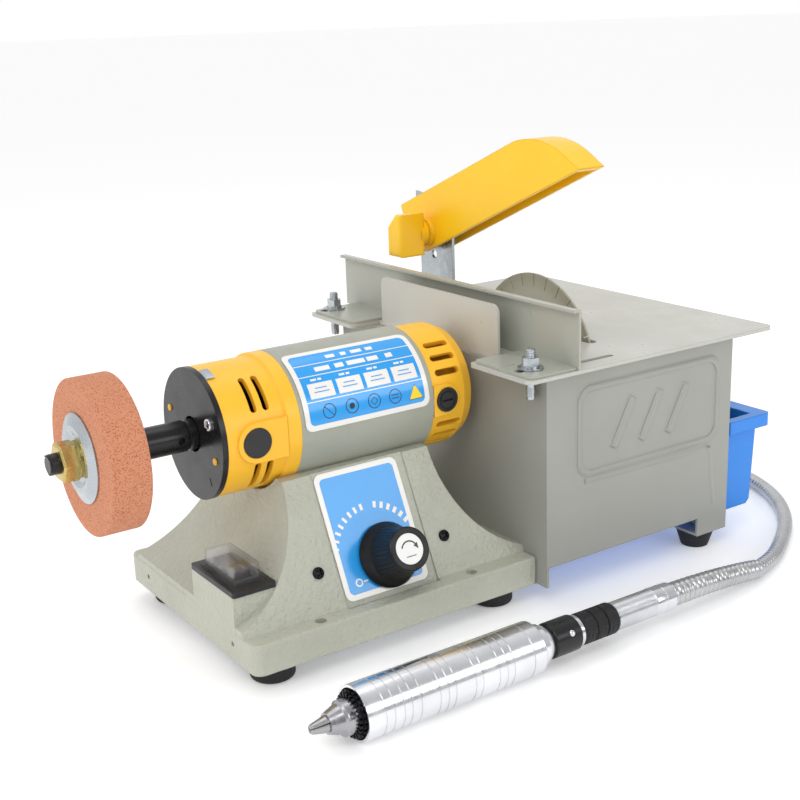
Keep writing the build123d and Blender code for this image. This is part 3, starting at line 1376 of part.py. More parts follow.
# ---------------------------------------------------------------- small screws
HEAD_R = 2.9
with BuildPart() as pan_screws:
    for dy, dz in ((-19.8, 9.4), (19.8, -9.4)):
        with BuildSketch(across(COVER_X, AXIS_Y + dy, AXIS_Z + dz)):
            Circle(HEAD_R)
        extrude(amount=-1.8)
        with BuildSketch(across(COVER_X, AXIS_Y + dy, AXIS_Z + dz)):
            Circle(SCREW_R)
        extrude(amount=COVER_T + CAP_T + 2)
    for side in (-1, 1):
        spot = on_face(BASE_MID_X + side * PANEL_SCREW_DX, KNOB_Z + 1)
        with BuildSketch(spot):
            Circle(HEAD_R)
        extrude(amount=1.6)
        with BuildSketch(spot):
            Circle(SCREW_R)
        extrude(amount=-7)
    for bolt_y in (30, BASE_D - 30):
        with BuildSketch(across(BOX_X + BOX_T, bolt_y, 8)):
            Circle(HEAD_R)
        extrude(amount=1.6)
        with BuildSketch(across(BOX_X + BOX_T, bolt_y, 8)):
            Circle(SCREW_R)
        extrude(amount=-(BOX_T + CAST_WALL))
    for screw_y in BRACKET_SCREW_YS:
        with BuildSketch(Plane.XY.offset(TABLE_TOP + STRIP_T)):
            with Locations((BRACKET_SCREW_X, screw_y)):
                Circle(HEAD_R)
        extrude(amount=1.8)
        with BuildSketch(Plane.XY.offset(TABLE_TOP + STRIP_T)):
            with Locations((BRACKET_SCREW_X, screw_y)):
                Circle(SCREW_R)
        extrude(amount=-(STRIP_T + TABLE_T + 3))
save("pan_screws", pan_screws)

# ================================================================ handpiece
HAND_END = HAND_X + HAND_L
NECK_END = HAND_END + 9
COLLAR_END = NECK_END + 16
GRIP_X = COLLAR_END + 3
GRIP_END = GRIP_X + 22
FERRULE_END = GRIP_END + 40
MOUTH_R = HAND_R - 1.3
CHUCK_STEM_R = 3.0
with BuildPart() as handpiece_body:
    with BuildSketch(lengthwise(HAND_Y, HAND_Z)):
        with BuildLine():
            Polyline(
                (HAND_X, MOUTH_R),
                (HAND_X, HAND_R),
                (HAND_END - 1, HAND_R),
                (HAND_END, HAND_R - 1),
                (HAND_END, 10.5),
                (HAND_END + 4, 10),
                (NECK_END, 7.5),
                (NECK_END, 5.5),
                (GRIP_X + 4, 5.5),
                (GRIP_X + 4, 2.5),
                (HAND_END - 10, 2.5),
                (HAND_END - 10, CHUCK_STEM_R + 3),
                (HAND_X + 26, CHUCK_STEM_R + 3),
                (HAND_X + 26, MOUTH_R),
                close=True,
            )
        make_face()
    revolve(axis=along_x(HAND_Y, HAND_Z))
    # shallow turned grooves
    for groove in (8.5, 13, 18, 22, 27, 37, 41.5, 45.5, 56.5, 60.5, 70, 74.5, 78.5, 90.5):
        with BuildSketch(across(HAND_X + groove, HAND_Y, HAND_Z)):
            Circle(HAND_R + 1)
            Circle(HAND_R - 0.3, mode=Mode.SUBTRACT)
        extrude(amount=0.6, mode=Mode.SUBTRACT)
save("handpiece_body", handpiece_body)

CHUCK_R = 8.1
CHUCK_BACK = HAND_X + 22
CHUCK_FACE = HAND_X - 13.5
JAW_R = 3.8                 # the three jaws together
JAW_TIP_R = 2.2
RING_X = HAND_X - 1.0
with BuildPart() as chuck_body:
    with BuildSketch(lengthwise(HAND_Y, HAND_Z)):
        with BuildLine():
            Polyline(
                (CHUCK_FACE, JAW_R + SLIP),
                (CHUCK_FACE, JAW_R + 1.0),
                (CHUCK_FACE + 6, CHUCK_R - 1.2),
                (CHUCK_FACE + 7, CHUCK_R),
                (CHUCK_BACK, CHUCK_R),
                (CHUCK_BACK, CHUCK_STEM_R),
                (HAND_END - 12, CHUCK_STEM_R),
                (HAND_END - 12, 0),
                (CHUCK_FACE + 14, 0),
                (CHUCK_FACE + 14, JAW_R + SLIP),
                close=True,
            )
        make_face()
    revolve(axis=along_x(HAND_Y, HAND_Z))
    for turn in (30, 150, 270):
        normal = (0, -cos(radians(turn)), sin(radians(turn)))
        origin = Vector(CHUCK_FACE + 9.3, HAND_Y, HAND_Z) + Vector(*normal) * (CHUCK_R + 1)
        with BuildSketch(Plane(origin=origin, x_dir=(1, 0, 0), z_dir=normal)):
            Circle(1.7)
        extrude(amount=-4.5, mode=Mode.SUBTRACT)
save("chuck_body", chuck_body)

with BuildPart() as handpiece_bearings:
    for start in (HAND_X + 27, HAND_END - 18):
        with BuildSketch(across(start, HAND_Y, HAND_Z)):
            Circle(CHUCK_STEM_R + 3)
            Circle(CHUCK_STEM_R + SLIP / 2, mode=Mode.SUBTRACT)
        extrude(amount=5)
save("handpiece_bearings", handpiece_bearings)

RING_R = MOUTH_R - 0.6
TEETH = 24
with BuildPart() as chuck_ring:
    with BuildSketch(across(RING_X, HAND_Y, HAND_Z)):
        Circle(RING_R)
        Circle(CHUCK_R + SLIP, mode=Mode.SUBTRACT)
        with PolarLocations(RING_R, TEETH):
            Rectangle(1.6, 1.1, mode=Mode.SUBTRACT)
    extrude(amount=10)
    with BuildSketch(across(RING_X - 1.6, HAND_Y, HAND_Z)):
        Circle(RING_R - 1)
        Circle(CHUCK_R + SLIP, mode=Mode.SUBTRACT)
        with PolarLocations(RING_R - 1.4, TEETH):
            Rectangle(3.4, 1.2, mode=Mode.SUBTRACT)
    extrude(amount=1.6)
save("chuck_ring", chuck_ring)

with BuildPart() as chuck_jaws:
    with BuildSketch(lengthwise(HAND_Y, HAND_Z)):
        with BuildLine():
            Polyline(
                (CHUCK_FACE - 8, 0.6),
                (CHUCK_FACE - 8, JAW_TIP_R - 0.5),
                (CHUCK_FACE - 7.5, JAW_TIP_R),
                (CHUCK_FACE - 0.5, JAW_R),
                (CHUCK_FACE + 9, JAW_R),
                (CHUCK_FACE + 9, 0.6),
                close=True,
            )
        make_face()
    revolve(axis=along_x(HAND_Y, HAND_Z))
    # three slits part the jaws
    for jaw in range(3):
        turn = 120 * jaw + 30
        with BuildSketch(across(CHUCK_FACE - 9, HAND_Y, HAND_Z)):
            with Locations((2.5 * cos(radians(turn)), 2.5 * sin(radians(turn)))):
                Rectangle(5, 0.5, rotation=turn)
        extrude(amount=20, mode=Mode.SUBTRACT)
save("chuck_jaws", chuck_jaws)

BALL_R = 1.9
with BuildPart() as quick_release_collar:
    with BuildSketch(across(NECK_END + 0.2, HAND_Y, HAND_Z)):
        Circle(8.8)
        Circle(5.6, mode=Mode.SUBTRACT)
    extrude(amount=COLLAR_END - NECK_END - 0.2)
    fillet(quick_release_collar.edges().filter_by(GeomType.CIRCLE).group_by(SortBy.RADIUS)[-1], radius=0.8)
    with BuildSketch(round_motor(COLLAR_END - 6, 30, 10, HAND_Y, HAND_Z)):
        Circle(BALL_R + SLIP)
    extrude(amount=-BALL_R - 2.4, mode=Mode.SUBTRACT)
save("quick_release_collar", quick_release_collar)

with BuildPart() as detent_ball:
    with Locations(round_motor(COLLAR_END - 6, 30, 7.7, HAND_Y, HAND_Z).origin):
        Sphere(BALL_R)
save("detent_ball", detent_ball)

with BuildPart() as knurled_grip:
    with BuildSketch(across(GRIP_X, HAND_Y, HAND_Z)):
        Circle(7.9)
        Circle(5.6, mode=Mode.SUBTRACT)
    extrude(amount=GRIP_END - GRIP_X)
    fillet(knurled_grip.edges().filter_by(GeomType.CIRCLE).group_by(SortBy.RADIUS)[-1], radius=0.6)
    for groove in (7, 13):
        with BuildSketch(across(GRIP_X + groove, HAND_Y, HAND_Z)):
            Circle(9)
            Circle(7.3, mode=Mode.SUBTRACT)
        extrude(amount=0.8, mode=Mode.SUBTRACT)
save("knurled_grip", knurled_grip)

SPRING_R = 6.4
FERRULE_R = 7.2
with BuildPart() as shaft_ferrule:
    with BuildSketch(lengthwise(HAND_Y, HAND_Z)):
        with BuildLine():
            Polyline(
                (GRIP_X + 4, 0),
                (GRIP_X + 4, 5.5),
                (GRIP_END, 5.5),
                (GRIP_END, FERRULE_R),
                (FERRULE_END, SPRING_R - 0.4),
                (FERRULE_END, 0),
                close=True,
            )
        make_face()
    revolve(axis=along_x(HAND_Y, HAND_Z))
save("shaft_ferrule", shaft_ferrule)

# ================================================================ flexible shaft
# The sheath runs from the spring guard over the bench, round the right side of the box, to a
# coil behind the machine.
SPRING_TO = (FERRULE_END + 70.5, HAND_Y + 4, FLOOR + SPRING_R)
SPRING_VIA = (FERRULE_END + 36, HAND_Y, HAND_Z)
ROUTE = [
    SPRING_TO,
    (295, -47, SHEATH_Z),
    (319, -34, SHEATH_Z),
    (348, -14, SHEATH_Z),
    (373, 14, SHEATH_Z),
    (388, 48, SHEATH_Z),
    (391, 84, SHEATH_Z),
    (388.5, 121, SHEATH_Z),
    (381, 161, SHEATH_Z + 1),
    (369.4, 199.5, SHEATH_Z + 7),
    (350.5, 250.9, SHEATH_Z + 15.5),
]


def corner_radii(points):
    """The largest arc that each corner's two runs leave room for."""
    radii = []
    for before, corner, after in zip(points, points[1:], points[2:]):
        run_in = Vector(*corner) - Vector(*before)
        run_out = Vector(*after) - Vector(*corner)
        turn = radians(run_in.get_angle(run_out))
        radii.append(0.45 * min(run_in.length, run_out.length) / tan(turn / 2))
    return radii


COIL_OUT_R = COIL_MEAN_R + SHEATH_D / 2

with BuildPart() as spring_guard:
    guard_points = [(FERRULE_END, HAND_Y, HAND_Z), SPRING_VIA, SPRING_TO]
    with BuildLine() as spring_path:
        FilletPolyline(*guard_points, radius=corner_radii(guard_points))
    with BuildSketch(across(FERRULE_END, HAND_Y, HAND_Z)):
        Circle(SPRING_R)
    sweep()
save("spring_guard", spring_guard)

radii = corner_radii(ROUTE)
print("sheath radii", [round(radius) for radius in radii])
with BuildPart() as flex_sheath:
    with BuildLine() as sheath_path:
        FilletPolyline(*ROUTE, radius=radii)
    with BuildSketch(Plane(origin=ROUTE[0], z_dir=Vector(*ROUTE[1]) - Vector(*ROUTE[0]))):
        Circle(SHEATH_D / 2)
    sweep()
    add(spring_guard.part, mode=Mode.SUBTRACT)
sheath_len = sum(edge.length for edge in sheath_path.edges())
print("sheath length", round(sheath_len), "volume", round(flex_sheath.part.volume),
      "section times length", round(sheath_len * pi * SHEATH_D ** 2 / 4))
save("flex_sheath", flex_sheath)

with BuildPart() as sheath_coil:
    with BuildSketch(Plane.XY.offset(FLOOR)):
        with Locations((COIL_X, COIL_Y)):
            Circle(COIL_OUT_R)
            Circle(COIL_MEAN_R - SHEATH_D / 2, mode=Mode.SUBTRACT)
    extrude(amount=SHEATH_D * (COIL_TURNS + 1.2))
save("sheath_coil", sheath_coil)

# the coil's lowest turn leaves at the back, where the drive coupling lies on the bench
COUPLING_R = 8.0
COUPLING_L = 42.0
COUPLING_X = COIL_X - 32
STUB_Y = COIL_Y + COIL_MEAN_R
with BuildPart() as drive_coupling:
    with BuildSketch(across(COUPLING_X, STUB_Y, FLOOR + COUPLING_R)):
        Circle(COUPLING_R)
    extrude(amount=-COUPLING_L)
    chamfer(drive_coupling.edges().group_by(Axis.X)[0], length=1)
    with BuildSketch(across(COUPLING_X - COUPLING_L, STUB_Y, FLOOR + COUPLING_R)):
        Circle(3)
    extrude(amount=-14)
    with BuildSketch(across(COUPLING_X - COUPLING_L + 18, STUB_Y, FLOOR + COUPLING_R)):
        Circle(COUPLING_R + 1)
        Circle(COUPLING_R - 1, mode=Mode.SUBTRACT)
    extrude(amount=-3, mode=Mode.SUBTRACT)
    with BuildSketch(across(COUPLING_X, STUB_Y, SHEATH_Z)):
        Circle(SHEATH_D / 2 - 0.4)
    extrude(amount=COIL_X - COUPLING_X)
    with BuildSketch(Plane.XY.offset(FLOOR - 1)):
        with Locations((COIL_X, COIL_Y)):
            Circle(COIL_OUT_R)
    extrude(amount=60, mode=Mode.SUBTRACT)
save("drive_coupling", drive_coupling)

print("origin", ORIGIN, "coil length", round(2 * pi * COIL_MEAN_R * COIL_TURNS))
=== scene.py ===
"""Bench lathe with a table saw and a flexible shaft: looks, lights and camera.

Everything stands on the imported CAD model. Sizes are given in millimetres from the front left
bottom corner of the pedestal casting, as in the model's source, and at() turns them into the
model's own frame in metres.
"""
import math

import bmesh
import bpy
from mathutils import Matrix, Vector


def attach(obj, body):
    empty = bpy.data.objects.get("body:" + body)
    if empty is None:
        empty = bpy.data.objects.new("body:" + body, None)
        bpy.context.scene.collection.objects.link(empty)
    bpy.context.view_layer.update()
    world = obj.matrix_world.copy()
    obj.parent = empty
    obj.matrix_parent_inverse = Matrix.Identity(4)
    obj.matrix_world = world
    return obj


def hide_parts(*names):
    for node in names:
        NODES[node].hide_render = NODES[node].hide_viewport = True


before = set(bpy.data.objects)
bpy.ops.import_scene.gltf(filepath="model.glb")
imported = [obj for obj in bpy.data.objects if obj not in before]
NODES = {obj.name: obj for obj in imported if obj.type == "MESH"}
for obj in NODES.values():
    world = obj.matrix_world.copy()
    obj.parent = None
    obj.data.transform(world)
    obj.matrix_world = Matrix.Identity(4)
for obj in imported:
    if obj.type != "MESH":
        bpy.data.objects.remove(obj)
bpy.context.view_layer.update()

# ------------------------------------------------------------------ the CAD's own measures
ORIGIN = Vector((137.5, 93.0, -10.5))
AXIS_Y, AXIS_Z = 71.5, 98.0
FLOOR = -10.5
FLANGE_H, LEDGE_D, FACE_SLOPE = 15.3, 10.3, 0.496
SLEEVE_R = 34.0
COVER_X = 10.1
CAP_R = 32.6
KNOB_X, KNOB_Z, KNOB_GAP = 85.6, 32.0, 0.6
LABEL_X, LABEL_W, LABEL_H = 81.4, 48.6, 64.0
LABEL_MID_Z = (FLANGE_H + 75.0) / 2 + 0.4
HAND_X, HAND_Y, HAND_L, HAND_R = 16.5, -56.5, 99.0, 12.9
HAND_Z = FLOOR + HAND_R
HAND_END = HAND_X + HAND_L
NECK_END = HAND_END + 9
COLLAR_END = NECK_END + 16
GRIP_X = COLLAR_END + 3
GRIP_END = GRIP_X + 22
FERRULE_END = GRIP_END + 40
SHEATH_D = 8.6
SHEATH_Z = FLOOR + SHEATH_D / 2
COIL_R, COIL_X, COIL_Y = 47.5, 296.0, 262.0
SPRING_R = 6.4
BOX_FRONT = -8.0
BLADE_X = 225.7
PANEL_X = 83.25             # middle of the panel between its two screws
SPINDLE_END = -62.0
FENCE_BOLT_X, FENCE_BOLT_YS = 162.0, (-1, 186)
SCREW_R = 2.95
PLATE_ANGLE = 35.5          # the nameplate's middle above the horizontal, in degrees
PLATE_W, PLATE_H, PLATE_BORDER = 73.0, 43.2, 5.4


def at(x, y, z):
    """A point of the model in its own frame, in metres."""
    return (Vector((x, y, z)) - ORIGIN) / 1000


def face_y(z):
    return LEDGE_D + FACE_SLOPE * (z - FLANGE_H)


FACE_LEN = math.hypot(1, FACE_SLOPE)
FACE_OUT = Vector((0, -1 / FACE_LEN, FACE_SLOPE / FACE_LEN))
FACE_UP = Vector((0, FACE_SLOPE / FACE_LEN, 1 / FACE_LEN))


# ------------------------------------------------------------------ materials
def rgb(r, g, b, a=1.0):
    """A screen colour from 0 to 255 as linear light."""
    out = []
    for value in (r, g, b):
        v = value / 255
        out.append(v / 12.92 if v <= 0.04045 else ((v + 0.055) / 1.055) ** 2.4)
    return (*out, a)


class Shader:
    """A Principled shader with helpers for the nodes that feed it."""

    def __init__(self, name, base, rough=0.5, metal=0.0, **sockets):
        self.mat = bpy.data.materials.new(name)
        self.mat.use_nodes = True
        self.tree = self.mat.node_tree
        self.bsdf = next(n for n in self.tree.nodes if n.type == "BSDF_PRINCIPLED")
        self.bsdf.inputs["Base Color"].default_value = base
        self.bsdf.inputs["Roughness"].default_value = rough
        self.bsdf.inputs["Metallic"].default_value = metal
        for key, value in sockets.items():
            self.bsdf.inputs[key.replace("_", " ")].default_value = value
        self.mat.diffuse_color = base
        self.base = base
        self.normal = None

    def node(self, kind, **values):
        n = self.tree.nodes.new(kind)
        for key, value in values.items():
            setattr(n, key, value)
        return n

    def link(self, a, b):
        self.tree.links.new(a, b)

    def coords(self, scale=(1, 1, 1)):
        tex = self.node("ShaderNodeTexCoord")
        mapping = self.node("ShaderNodeMapping")
        mapping.inputs["Scale"].default_value = scale
        self.link(tex.outputs["Object"], mapping.inputs["Vector"])
        return mapping.outputs["Vector"]

    def noise(self, scale, detail=3.0, rough=0.5, coords=(1, 1, 1)):
        n = self.node("ShaderNodeTexNoise")
        n.inputs["Scale"].default_value = scale
        n.inputs["Detail"].default_value = detail
        n.inputs["Roughness"].default_value = rough
        self.link(self.coords(coords), n.inputs["Vector"])
        return n.outputs["Fac"]

    def cells(self, scale):
        n = self.node("ShaderNodeTexVoronoi")
        n.inputs["Scale"].default_value = scale
        self.link(self.coords(), n.inputs["Vector"])
        return n.outputs["Distance"]

    def ramp(self, source, stops):
        n = self.node("ShaderNodeValToRGB")
        points = n.color_ramp.elements
        while len(points) < len(stops):
            points.new(0.5)
        for point, (place, colour) in zip(points, stops):
            point.position = place
            point.color = colour
        self.link(source, n.inputs["Fac"])
        return n.outputs["Color"]

    def soft_edges(self, radius):
        """Rounds the look of every sharp edge by this radius, in metres."""
        n = self.node("ShaderNodeBevel", samples=4)
        n.inputs["Radius"].default_value = radius
        self.normal = n.outputs["Normal"]
        self.link(self.normal, self.bsdf.inputs["Normal"])
        return self

    def bump(self, source, strength, distance):
        n = self.node("ShaderNodeBump")
        n.inputs["Strength"].default_value = strength
        n.inputs["Distance"].default_value = distance
        self.link(source, n.inputs["Height"])
        if self.normal:
            self.link(self.normal, n.inputs["Normal"])
        self.normal = n.outputs["Normal"]
        self.link(self.normal, self.bsdf.inputs["Normal"])
        return self

    def vary(self, source, amount, low=0.3, high=0.7):
        """Lightens and darkens the base colour a little, after this source."""
        dark = tuple(c * (1 - amount) for c in self.base[:3]) + (1,)
        light = tuple(min(1, c * (1 + amount)) for c in self.base[:3]) + (1,)
        self.link(self.ramp(source, [(low, dark), (high, light)]), self.bsdf.inputs["Base Color"])
        return self

    def gloss(self, source, low, high):
        """Roughness between these two values, after this source."""
        n = self.node("ShaderNodeMapRange")
        n.inputs["From Min"].default_value = 0.3
        n.inputs["From Max"].default_value = 0.7
        n.inputs["To Min"].default_value = low
        n.inputs["To Max"].default_value = high
        self.link(source, n.inputs["Value"])
        self.link(n.outputs["Result"], self.bsdf.inputs["Roughness"])
        return self


def hammered(name, base, depth, grain, edges=0.0008, rough=0.42, deep=0.0004):
    s = Shader(name, base, rough, Coat_Weight=0.12, Coat_Roughness=0.3)
    s.soft_edges(edges)
    s.vary(s.noise(35, 4), 0.05)
    s.gloss(s.noise(160, 3), rough - 0.06, rough + 0.08)
    s.bump(s.noise(grain, 2.5, 0.55), depth, deep)
    return s.mat


def sheet_paint(name, base, rough=0.38):
    s = Shader(name, base, rough, Coat_Weight=0.1, Coat_Roughness=0.25)
    s.soft_edges(0.0006)
    s.vary(s.noise(18, 5), 0.04)
    s.gloss(s.noise(60, 4), rough - 0.07, rough + 0.09)
    s.bump(s.noise(420, 2, 0.5), 0.05, 0.0001)
    return s.mat


def plastic(name, base, rough=0.35, grain=0.1, edges=0.0006, glow=0.0, shine=0.5):
    s = Shader(name, base, rough, Subsurface_Weight=glow, Specular_IOR_Level=shine)
    s.bsdf.inputs["Subsurface Radius"].default_value = (0.004, 0.002, 0.001)
    s.soft_edges(edges)
    s.vary(s.noise(25, 3), 0.03)
    s.gloss(s.noise(90, 3), rough - 0.05, rough + 0.07)
    s.bump(s.noise(700, 2), grain, 0.0001)
    return s.mat


def metal(name, base, rough=0.25, streak=(1, 1, 1), grain=900, depth=0.15, edges=0.0003):
    s = Shader(name, base, rough, 1.0)
    s.soft_edges(edges)
    s.vary(s.noise(40, 4), 0.08)
    s.gloss(s.noise(grain / 2, 4, coords=streak), rough * 0.75, rough * 1.35)
    s.bump(s.noise(grain, 3, coords=streak), depth, 0.00006)
    return s.mat


def film(name, base, rough=0.22):
    s = Shader(name, base, rough, Coat_Weight=0.35, Coat_Roughness=0.12)
    s.vary(s.noise(14, 3), 0.05)
    s.bump(s.noise(60, 2), 0.05, 0.0002)
    return s.mat


def rubber(name, base, rough=0.7):
    s = Shader(name, base, rough)
    s.soft_edges(0.0006)
    s.vary(s.noise(60, 4), 0.2)
    s.bump(s.noise(1600, 3), 0.25, 0.0002)
    return s.mat


def grit():
    s = Shader("wheel_grit", rgb(190, 112, 82), 0.92)
    s.soft_edges(0.0007)
    cells = s.cells(1150)
    fine = s.noise(900, 5, 0.75)
    mix = s.node("ShaderNodeMath", operation="ADD")
    s.link(cells, mix.inputs[0])
    s.link(fine, mix.inputs[1])
    stops = [
        (0.36, rgb(122, 46, 32)),
        (0.54, rgb(166, 82, 54)),
        (0.74, rgb(184, 104, 74)),
        (0.94, rgb(208, 142, 108)),
    ]
    s.link(s.ramp(mix.outputs["Value"], stops), s.bsdf.inputs["Base Color"])
    s.bump(mix.outputs["Value"], 0.7, 0.0005)
    return s.mat


def blade_steel():
    s = Shader("blade_steel", rgb(196, 194, 180), 0.55, 0.3)
    s.soft_edges(0.0002)
    tex = s.node("ShaderNodeTexCoord")
    shift = s.node("ShaderNodeMapping")
    shift.inputs["Location"].default_value = -at(BLADE_X, AXIS_Y, AXIS_Z)
    s.link(tex.outputs["Object"], shift.inputs["Vector"])
    length = s.node("ShaderNodeVectorMath", operation="LENGTH")
    s.link(shift.outputs["Vector"], length.inputs[0])
    rings = s.node("ShaderNodeMath", operation="MULTIPLY")
    rings.inputs[1].default_value = 2600
    s.link(length.outputs["Value"], rings.inputs[0])
    wave = s.node("ShaderNodeMath", operation="SINE")
    s.link(rings.outputs["Value"], wave.inputs[0])
    rim = s.ramp(
        length.outputs["Value"],
        [(0.0, rgb(204, 202, 190)), (0.0405, rgb(198, 195, 180)), (0.0455, rgb(172, 168, 150))],
    )
    s.link(rim, s.bsdf.inputs["Base Color"])
    s.bump(wave.outputs["Value"], 0.12, 0.00005)
    s.bump(s.cells(1800), 0.2, 0.0001)
    return s.mat


def clear():
    s = Shader("clear_boot", (0.80, 0.82, 0.85, 1), 0.05, Transmission_Weight=0.9, IOR=1.25, Alpha=0.3)
    s.bump(s.noise(180, 2), 0.15, 0.0005)
    return s.mat


CASTING = hammered("casting_enamel", rgb(181, 183, 168), 1.0, 430, deep=0.0011)
SLEEVE = hammered("sleeve_enamel", rgb(160, 162, 149), 0.6, 800, 0.0004)
# One sheet enamel in three shades: the box is painted darker for painted shade on its front face, the
# table lighter for painted light on its top, and the fence darker for painted shade on its side.
BOX = sheet_paint("box_enamel_painted_shade", rgb(155, 156, 149))
TABLE = sheet_paint("table_enamel_painted_light", rgb(188, 188, 180), 0.34)
FENCE = sheet_paint("fence_enamel_painted_shade", rgb(170, 171, 160), 0.32)
YELLOW = plastic("yellow_plastic", rgb(250, 190, 44), 0.36, 0.06, 0.0006, 0.04)
GUARD = plastic("guard_plastic", rgb(255, 200, 22), 0.33, 0.04, 0.0018, 0.1)
TRAY = plastic("tray_plastic", rgb(38, 134, 228), 0.33, 0.03, 0.0012, 0.05)
BLACK = plastic("black_plastic", rgb(30, 30, 32), 0.42, 0.25, 0.0004)
KNOB = plastic("knob_plastic", rgb(15, 16, 19), 0.34, 0.03, 0.0002, shine=0.3)
CAP_WHITE = plastic("cap_white", rgb(236, 236, 232), 0.35, 0.03, 0.0001)
ENAMEL = plastic("black_enamel", rgb(25, 25, 27), 0.28, 0.03, 0.0003, shine=0.38)
RUBBER = rubber("black_rubber", rgb(26, 26, 28))
ZINC = metal("zinc_plate", rgb(176, 182, 186), 0.26, grain=500, depth=0.1)
GOLD = metal("yellow_zinc", rgb(200, 178, 110), 0.28, grain=500, depth=0.12)
STEEL = metal("ground_steel", rgb(170, 170, 172), 0.3)
ALU = metal("turned_aluminium", rgb(226, 227, 230), 0.2, (1, 0.02, 0.02), 2600, 0.04, 0.0002)
CHROME = metal("bright_chrome", rgb(214, 216, 220), 0.17, grain=400, depth=0.01)
HOSE = metal("hose_metal", rgb(186, 187, 188), 0.3, grain=700, depth=0.12)
CHUCK = metal("chuck_steel", rgb(168, 168, 172), 0.24, (1, 0.05, 0.05), 1600, 0.12)
BLACKENED = metal("blackened_steel", rgb(44, 44, 47), 0.38, grain=900, depth=0.2)
COPPER = metal("copper_wire", rgb(190, 110, 62), 0.35, (0.05, 1, 1), 1500, 0.5)
LAMINATIONS = metal("laminations", rgb(120, 122, 126), 0.45, (8, 0.1, 0.1), 500, 0.6)
BLADE = blade_steel()
GRIT = grit()
CLEAR = clear()
WHITE_FILM = film("white_film", rgb(236, 233, 228))
BLUE_FILM = film("blue_film", rgb(36, 156, 232), 0.2)
BLACK_INK = film("black_ink", rgb(24, 24, 26), 0.4)
YELLOW_INK = film("yellow_ink", rgb(246, 214, 24), 0.3)
ROCKER = plastic("rocker_plastic", rgb(52, 44, 46), 0.25, 0.03, 0.0003)
BOARD = plastic("circuit_board", rgb(28, 92, 52), 0.4, 0.1)
CARBON = rubber("carbon_block", rgb(40, 40, 42), 0.6)

LOOKS = {
    CASTING: "base_casting",
    SLEEVE: "motor_sleeve",
    BOX: "saw_box",
    TABLE: "saw_table",
    FENCE: "fence",
    YELLOW: "left_end_cap right_end_cap",
    GUARD: "saw_guard guard_knob",
    TRAY: "water_tray",
    BLACK: "switch_bezel switch_body vent_plugs brush_caps cooling_fan cable_gland",
    KNOB: "speed_knob",
    ENAMEL: "left_cover_plate arbor quick_release_collar knurled_grip",
    RUBBER: "base_feet box_feet",
    ZINC: "base_bottom_plate fence_bolts fence_nuts guard_bracket pan_screws foot_screws"
    " motor_tie_bolts potentiometer brush_gear clamping_flanges",
    GOLD: "spindle_nuts",
    STEEL: "motor_shaft bearings handpiece_bearings chuck_jaws",
    ALU: "handpiece_body",
    CHROME: "shaft_ferrule detent_ball drive_coupling",
    HOSE: "flex_sheath sheath_coil spring_guard",
    CHUCK: "chuck_body",
    BLACKENED: "chuck_ring",
    COPPER: "stator_coils armature_windings commutator",
    LAMINATIONS: "stator_core armature_core",
    BLADE: "saw_blade",
    GRIT: "grinding_wheel",
    CLEAR: "switch_boot",
    BLUE_FILM: "nameplate control_label",
    ROCKER: "rocker",
    BOARD: "speed_control_board",
    CARBON: "carbon_brushes",
}
for material, names in LOOKS.items():
    for name in names.split():
        mesh = NODES[name].data
        mesh.materials.clear()
        mesh.materials.append(material)


# ------------------------------------------------------------------ building blocks
def add_mesh(name, verts, faces, material, body, angle=35):
    """A new piece from points in metres, on a CAD body."""
    mesh = bpy.data.meshes.new(name)
    mesh.from_pydata([tuple(v) for v in verts], [], faces)
    mesh.validate()
    mesh.materials.append(material)
    obj = bpy.data.objects.new(name, mesh)
    bpy.context.scene.collection.objects.link(obj)
    work = bmesh.new()
    work.from_mesh(mesh)
    bmesh.ops.recalc_face_normals(work, faces=work.faces)
    for edge in work.edges:
        edge.smooth = not edge.is_manifold or edge.calc_face_angle(0) < math.radians(angle)
    for face in work.faces:
        face.smooth = True
    work.to_mesh(mesh)
    work.free()
    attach(obj, body)
    return obj


def stack(rings, closed=True, cap_start=False, cap_end=False):
    """Points and faces of a skin over equal rings of points."""
    verts = [p for ring in rings for p in ring]
    count = len(rings[0])
    faces = []
    for i in range(len(rings) - 1):
        for j in range(count if closed else count - 1):
            k = (j + 1) % count
            faces.append((i * count + j, i * count + k, (i + 1) * count + k, (i + 1) * count + j))
    if cap_start:
        faces.append(tuple(range(count))[::-1])
    if cap_end:
        faces.append(tuple(range((len(rings) - 1) * count, len(rings) * count)))
    return verts, faces


def around(side, other, segs):
    """Unit vectors all round, from side towards other."""
    turns = [2 * math.pi * j / segs for j in range(segs)]
    return [side * math.cos(turn) + other * math.sin(turn) for turn in turns]


def turned(name, profile, origin, axis, material, body, segs=64, angle=35, wobble=None):
    """A turned piece: profile holds (along, radius) in millimetres, from origin along axis."""
    axis = Vector(axis).normalized()
    side = axis.orthogonal().normalized()
    other = axis.cross(side)
    rings = []
    for index, (along, radius) in enumerate(profile):
        ring = []
        for j in range(segs):
            turn = 2 * math.pi * j / segs
            r = radius + (wobble(index, turn) if wobble else 0)
            p = Vector(origin) + axis * along + (side * math.cos(turn) + other * math.sin(turn)) * r
            ring.append(at(*p))
        rings.append(ring)
    verts, faces = stack(rings, True, profile[0][1] > 0, profile[-1][1] > 0)
    return add_mesh(name, verts, faces, material, body, angle=angle)


def rounded(w, h, r, steps=6):
    """Outline of a rounded rectangle round the middle, as (u, v) points."""
    out = []
    corners = [(w / 2 - r, h / 2 - r, 0), (-w / 2 + r, h / 2 - r, 90)]
    corners += [(-w / 2 + r, -h / 2 + r, 180), (w / 2 - r, -h / 2 + r, 270)]
    for cu, cv, start in corners:
        for k in range(steps + 1):
            turn = math.radians(start + 90 * k / steps)
            out.append((cu + r * math.cos(turn), cv + r * math.sin(turn)))
    return out


